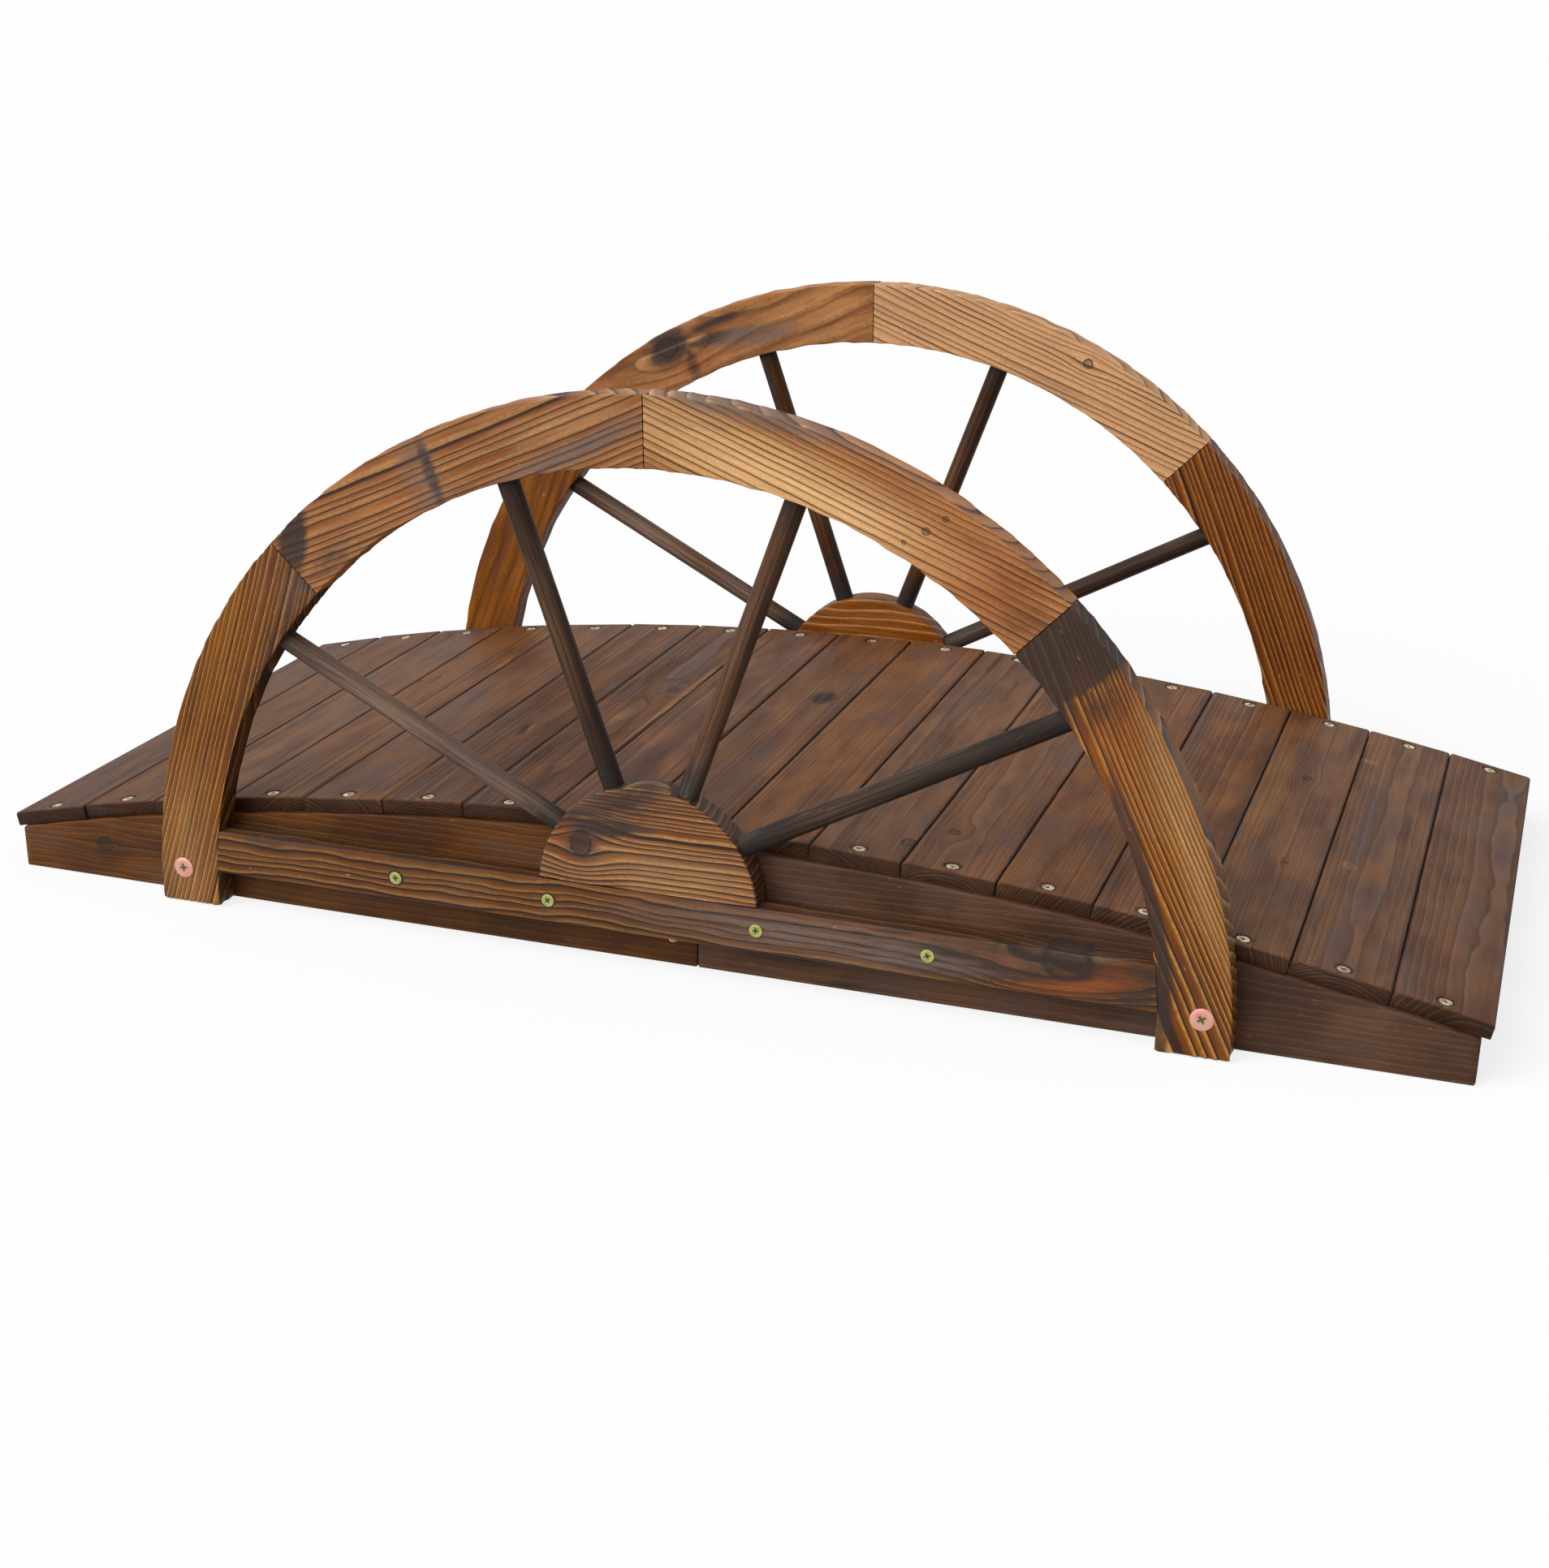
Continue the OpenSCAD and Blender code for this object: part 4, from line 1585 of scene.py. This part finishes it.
    def rail(self) -> None:
        """Makes the base rail, with ends scribed to the rim's inner face."""
        node = f"{self.side.value}_base_rail"
        low, high = node_box(node)
        count = round((high.x - low.x) / (self.rail_long_step * self.finer))
        low.x, high.x = -1.0, 1.0
        steps = (self.rail_depth_step, self.rail_depth_step, self.rail_step * self.finer)
        stock = Stock()
        start = stock.bar((low, high), self.ease, steps, 2 / count, 0.0)
        for vert in stock.bm.verts:
            reach = math.sqrt(self.inner_r**2 - (vert.co.z - self.middle.z) ** 2)
            vert.co.x = self.middle.x + vert.co.x * (reach + self.rail_lap)
        seed = self.rail_seed + list(Side).index(self.side)
        cut = Cut(X_AXIS, Z_AXIS, self.rail_pith, self.rail_ring, seed, start, self.rail_waver)
        hole, z = self.rail_hole_r, self.rail_screw_z
        holes = tuple(Patch(CHAR, x, z, hole, hole, 0, 1.3, 0.2) for x in self.rail_screws)
        knots, patches = RAIL_KNOTS[self.side], RAIL_MARKS[self.side] + holes
        self.yard.saw(node, stock, cut, WHEEL_WOOD, RAIL_RELIEF, RAIL_TONE, FACE_XZ, knots, patches)

    @staticmethod
    def reach(radius: float, off: Vector, angle: float) -> float:
        """Distance along a spoke's axis out to a circle.

        Args:
            radius: The circle's radius.
            off: Where the axis starts, measured from the circle's centre.
            angle: Angle of the axis, in radians.

        Returns:
            The distance.
        """
        along = off.x * math.cos(angle) + off.z * math.sin(angle)
        return math.sqrt(along**2 - off.x**2 - off.z**2 + radius**2) - along

    def spoke(self, index: int) -> None:
        """Makes one spoke: a turned dowel, a little uneven, from the hub's edge to the rim."""
        node = f"{self.side.value}_spoke_{index + 1}"
        angle = math.radians(self.spoke_angles[index])
        root = Vector((self.hub_x, self.middle.y, self.rail_top + self.spoke_rises[index]))
        low = self.reach(self.hub_r, root - self.hub_middle, angle) - self.spoke_sink
        high = self.reach(self.inner_r, root - self.middle, angle) + self.spoke_sink
        length = high - low
        stock = Stock()
        sides, radius = self.spoke_sides, self.spoke_d / 2
        bmesh.ops.create_circle(stock.bm, cap_ends=False, segments=sides, radius=radius)
        bmesh.ops.translate(stock.bm, vec=(0, 0, low), verts=stock.bm.verts)
        stock.first = stock.last = list(stock.bm.edges)
        stock.run(Z_AXIS * length, round(length / self.spoke_step))
        stock.close(Z_AXIS, 0.0)
        seed = self.spoke_seed + index + len(self.spoke_angles) * list(Side).index(self.side)
        for vert in stock.bm.verts:
            along = vert.co.z * self.spoke_lump_pitch[1] + seed * self.spoke_seed_step
            place = Vector((*(vert.co.xy * self.spoke_lump_pitch[0]), along))
            grow = 1.0 + self.spoke_lump * (noise.noise(place) - self.spoke_thin)
            vert.co.x *= grow
            vert.co.y *= grow
        cut = Cut(Z_AXIS, X_AXIS, self.spoke_pith, self.spoke_ring, seed)
        lie = Matrix.Translation(root) @ Matrix.Rotation(math.pi / 2 - angle, 4, "Y")
        # Gold patch: a painted highlight, partly paler wood, weaker on each later spoke; grey scuffs:
        # partly a painted sheen, strongest on the first spoke.
        rub_and_sheen = self.spoke_rubs_and_sheen[index]
        bright = low + length * (0.62 - 0.1 * index)
        patches = (
            Patch(CHAR, 0, low, 40, length * 0.13, 0, 0.85, 0.7),
            Patch(CHAR, 0, high, 40, length * 0.1, 0, 0.6, 0.7),
            Patch(GOLD, 0, bright, 7, length * 0.16, 2, 0.5 - 0.12 * index, 0.8),
            Patch(SCUFF, 0, low + length * 0.62, 8, length * 0.2, -1.5, rub_and_sheen, 0.8),
            Patch(SCUFF, 2, low + length * 0.3, 7, length * 0.14, -2, rub_and_sheen * 0.8, 0.8),
        )
        tone = self.spoke_tones[index]
        self.yard.saw(node, stock, cut, SPOKE_WOOD, SPOKE_RELIEF, tone, FACE_XZ, (), patches, lie)


@dataclass(frozen=True)
class ScrewHead:
    """A round screw head with a cross recess, in millimetres."""

    diameter: float
    dome: float
    skirt: float
    cross: float
    depth: float
    flat_share: float = 0.36
    arm_share: float = 0.14
    floor_share: float = 0.62
    edge_dirt_and_shade: float = 0.12

    ROUNDING = ((1.27, 1.0), (1.09, 0.6))
    GRID_RIM = 0.9
    GRID_ARM = 0.4

    def mesh(self, target: bmesh.types.BMesh, places: Iterable[Matrix]) -> None:
        """Adds a head at each place.

        Args:
            target: The mesh that collects them.
            places: Where the middle of a head's top lies, with its own Z outwards.
        """
        head = bmesh.new()
        self.top(head)
        edges = [edge for edge in head.edges if edge.is_boundary]
        rounds = [(grow, self.dome * share) for grow, share in self.ROUNDING]
        for grow, drop in (*rounds, (1.0, self.skirt)):
            made = bmesh.ops.extrude_edge_only(head, edges=edges)["geom"]
            edges, verts = edges_of(made), verts_of(made)
            bmesh.ops.scale(head, vec=(grow, grow, 1.0), verts=verts)
            bmesh.ops.translate(head, vec=(0, 0, -drop), verts=verts)
        bmesh.ops.contextual_create(head, geom=edges)
        bmesh.ops.recalc_face_normals(head, faces=head.faces)
        one = bpy.data.meshes.new("screw_head")
        head.to_mesh(one)
        head.free()
        for place in places:
            copy = one.copy()
            copy.transform(place)
            target.from_mesh(copy)
            bpy.data.meshes.remove(copy)
        bpy.data.meshes.remove(one)

    def top(self, head: bmesh.types.BMesh) -> None:
        """Makes the flat middle: a grid rounded to a disc, with its cross of five cells sunk."""
        dirt_and_shade = head.verts.layers.float.new("dirt_and_shade")
        bmesh.ops.create_grid(head, x_segments=5, y_segments=5, size=1.0)
        for vert in head.verts:
            if max(abs(vert.co.x), abs(vert.co.y)) > self.GRID_RIM:
                vert.co = vert.co.normalized() * self.diameter * self.flat_share
            else:
                for axis in (0, 1):
                    share = self.arm_share if abs(vert.co[axis]) < self.GRID_ARM else 0.5
                    vert.co[axis] = math.copysign(self.cross * share, vert.co[axis])
        cross = [f for f in head.faces if self.in_cross(f.calc_center_median())]
        edges = dict.fromkeys(edge for face in cross for edge in face.edges)
        made = bmesh.ops.extrude_face_region(head, geom=[*cross, *edges])["geom"]
        floor = verts_of(made)
        bmesh.ops.scale(head, vec=(self.floor_share, self.floor_share, 1.0), verts=floor)
        bmesh.ops.translate(head, vec=(0, 0, -self.depth), verts=floor)
        for vert in head.verts:
            beside = any(edge.other_vert(vert) in floor for edge in vert.link_edges)
            # The recess floor, and a little round it, gets the dark colour: partly grime, partly painted
            # shade.
            vert[dirt_and_shade] = 1.0 if vert in floor else self.edge_dirt_and_shade if beside else 0.0

    def in_cross(self, middle: Vector) -> bool:
        """Whether a cell of the top belongs to the cross."""
        near, far = sorted((abs(middle.x), abs(middle.y)))
        return near < 0.01 and far < self.cross / 2


@dataclass
class Screws:
    """All the screws that show, as one piece for each row."""

    yard: Yard
    deck: Deck
    wheels: tuple[HalfWheel, ...]
    deck_head: ScrewHead = ScrewHead(12.0, 0.2, 1.0, 7.0, 0.7)
    rail_head: ScrewHead = ScrewHead(12.9, 0.2, 1.2, 7.0, 0.7)
    foot_head: ScrewHead = ScrewHead(21.6, 0.5, 1.2, 10.0, 0.9)
    splice_head: ScrewHead = ScrewHead(10.0, 0.2, 1.0, 5.6, 0.5)
    deck_sink: float = 0.5
    rail_sink: float = -0.7
    foot_sink: float = -1.0
    foot_place: float = 516.0
    foot_z: float = 38.5
    splice_x: float = 0.0
    splice_z: float = 28.0
    deck_turns: Pair = (0.9, 0.4)
    wheel_turns: tuple[float, ...] = (0.15, 0.6, 0.0, 0.35)
    head_arris: float = math.radians(35)

    def build(self) -> None:
        """Makes every row."""
        for end, side in enumerate(Side):
            self.row(f"{side.value}_deck_screws", self.deck_head, self.deck_row(end), DECK_SCREW)
        for wheel in self.wheels:
            side = wheel.side.value
            low, high = node_box(f"{side}_stringer_left")
            inwards = low.y - wheel.y_low if wheel.near else wheel.y_high - high.y
            rail = [(x, wheel.rail_screw_z) for x in wheel.rail_screws]
            foot = [(wheel.centre[0] + x, self.foot_z) for x in (-self.foot_place, self.foot_place)]
            splice = [(self.splice_x, self.splice_z)]
            rows = (
                ("rail", self.rail_head, rail, self.rail_sink, RAIL_SCREW),
                ("foot", self.foot_head, foot, self.foot_sink, FOOT_SCREW),
                ("splice", self.splice_head, splice, inwards + self.rail_sink, DECK_SCREW),
            )
            for name, head, points, sink, finish in rows:
                self.row(f"{side}_{name}_screws", head, self.wheel_row(wheel, points, sink), finish)

    def deck_row(self, end: int) -> list[Matrix]:
        """Places of the screws along one end of the boards, near (0) or far (1)."""
        places = []
        for index in range(self.deck.board_count):
            y = self.deck.screw_rows(index)[end]
            turn = Matrix.Rotation(index * self.deck_turns[0] + end * self.deck_turns[1], 4, "Z")
            top = Matrix.Translation((0, y, self.deck.board_t - self.deck_sink))
            places.append(self.deck.lie(index) @ top @ turn)
        return places

    def wheel_row(self, wheel: HalfWheel, points: Iterable[Pair], sink: float) -> list[Matrix]:
        """Places of screws on the outer face of a wheel.

        Args:
            wheel: The wheel.
            points: Places on its face.
            sink: How far the tops lie below the face.

        Returns:
            One matrix for each screw.
        """
        face = wheel.y_low + sink if wheel.near else wheel.y_high - sink
        stand = Matrix.Rotation(math.pi / 2 if wheel.near else -math.pi / 2, 4, "X")
        return [
            Matrix.Translation((x, face, z)) @ stand @ Matrix.Rotation(turn, 4, "Z")
            for (x, z), turn in zip(points, self.wheel_turns)
        ]

    def row(self, name: str, head: ScrewHead, places: Sequence[Matrix], finish: ScrewFinish) -> None:
        """Makes one row of screws as a piece.

        Args:
            name: Its name.
            head: Shape of the heads.
            places: Where they sit.
            finish: Their plating.
        """
        bm = bmesh.new()
        head.mesh(bm, places)
        mesh = bpy.data.meshes.new(name)
        bm.to_mesh(mesh)
        bm.free()
        mesh.transform(Matrix.Scale(MM, 4))
        mesh.shade_smooth()
        mesh.set_sharp_from_angle(angle=self.head_arris)
        self.yard.place(mesh, finish.slot)


@dataclass(frozen=True)
class Studio:
    """White floor and soft light from the front left."""

    floor_size: float = 60.0
    floor_drop: float = 0.4 * MM
    floor_white: float = 0.95
    floor_bounce: float = 0.45
    shadow_share: float = 0.2
    sky_level: float = 0.35
    sun_level: float = 3.2
    sun_from: Triple = (-0.45, -0.62, 0.64)
    sun_spread: float = 55.0

    def build(self) -> None:
        """Makes the floor, the sky and the lamp."""
        self.floor()
        self.sky()
        self.sun()

    @staticmethod
    def seen(wiring: Wiring) -> Signal:
        """One for rays that show the background: camera, glossy and transmission rays."""
        path = wiring.node("ShaderNodeLightPath").outputs
        camera, glossy, through = (
            Signal(wiring, path[name]) for name in ("Is Camera Ray", "Is Glossy Ray", "Is Transmission Ray")
        )
        return camera.or_more(glossy).or_more(through)

    def floor(self) -> None:
        """Makes a white floor that keeps a faint shadow."""
        bm = bmesh.new()
        bmesh.ops.create_grid(bm, x_segments=2, y_segments=2, size=self.floor_size / 2)
        bmesh.ops.translate(bm, vec=(0, 0, -self.floor_drop), verts=bm.verts)
        mesh = bpy.data.meshes.new("studio_floor")
        bm.to_mesh(mesh)
        bm.free()
        floor = bpy.data.objects.new("studio_floor", mesh)
        bpy.context.scene.collection.objects.link(floor)
        material, wiring, shader = bare_material("studio_white")
        material.node_tree.nodes.remove(shader)
        shown = self.seen(wiring)
        pale, bright = ((level, level, level, 1.0) for level in (self.floor_bounce, self.floor_white))
        matt = wiring.value("ShaderNodeBsdfDiffuse", 0, {"Color": shown.mix(pale, bright)})
        white = wiring.value("ShaderNodeEmission", 0)
        lit = shown * (1.0 - self.shadow_share)
        blend = wiring.value("ShaderNodeMixShader", 0, {0: lit, 1: matt, 2: white})
        wiring.feed(material.node_tree.nodes["Material Output"], {"Surface": blend})
        mesh.materials.append(material)

    def sky(self) -> None:
        """Makes an even sky that shows white."""
        world = bpy.data.worlds.new("studio_sky")
        world.use_nodes = True
        bpy.context.scene.world = world
        wiring = Wiring(world.node_tree)
        strength = self.seen(wiring) * (1.0 - self.sky_level) + self.sky_level
        back = world.node_tree.nodes["Background"]
        wiring.feed(back, {"Color": (1.0, 1.0, 1.0, 1.0), "Strength": strength})

    def sun(self) -> None:
        """Makes one wide, soft lamp."""
        lamp = bpy.data.lights.new("key_light", "SUN")
        lamp.energy = self.sun_level
        lamp.angle = math.radians(self.sun_spread)
        key = bpy.data.objects.new("key_light", lamp)
        key.rotation_mode = "QUATERNION"
        key.rotation_quaternion = Vector(self.sun_from).to_track_quat("Z", "Y")
        bpy.context.scene.collection.objects.link(key)


@dataclass(frozen=True)
class PhotoCamera:
    """Camera at the photograph's place; millimetres, degrees, and the photograph's pixels."""

    place: tuple[float, float, float] = (751.9, -2294.7, 938.3)
    heading: float = -21.118
    pitch: float = -21.732
    roll: float = -0.253
    focal_px: float = 2924.9
    centre_off: tuple[float, float] = (-129.0, 99.0)
    long_side: float = 1932.0
    clip_end: float = 100.0

    def build(self) -> None:
        """Makes the camera and hands it to the scene."""
        data = bpy.data.cameras.new("photo_camera")
        data.sensor_fit = "AUTO"
        data.lens = self.focal_px * data.sensor_width / self.long_side
        data.shift_x = -self.centre_off[0] / self.long_side
        data.shift_y = self.centre_off[1] / self.long_side
        data.clip_end = self.clip_end
        camera = bpy.data.objects.new("photo_camera", data)
        yaw, pitch, roll = (math.radians(angle) for angle in (self.heading, self.pitch, self.roll))
        level = math.cos(pitch)
        ahead = Vector((math.sin(yaw) * level, math.cos(yaw) * level, math.sin(pitch)))
        right = Vector((math.cos(yaw), -math.sin(yaw), 0.0))
        up = right.cross(ahead)
        tilted = right * math.cos(roll) + up * math.sin(roll)
        upright = up * math.cos(roll) - right * math.sin(roll)
        turn = Matrix((tilted, upright, -ahead)).transposed().to_4x4()
        camera.matrix_world = Matrix.Translation(Vector(self.place) * MM) @ turn
        bpy.context.scene.collection.objects.link(camera)
        bpy.context.scene.camera = camera


def main() -> None:
    """Builds the footbridge, its studio and the camera."""
    logging.basicConfig(level=logging.INFO, format="%(name)s %(message)s")
    bpy.context.scene.view_settings.view_transform = "Standard"
    PhotoCamera().build()
    Studio().build()
    yard = Yard()
    deck = Deck(yard)
    deck.build()
    Stringers(yard).build()
    wheels = (
        HalfWheel(yard, Side.NEAR, NEAR_FELLOES, NEAR_SPOKES),
        HalfWheel(yard, Side.FAR, FAR_FELLOES, FAR_SPOKES),
    )
    for wheel in wheels:
        wheel.build()
    Screws(yard, deck, wheels).build()


if __name__ == "__main__":
    main()
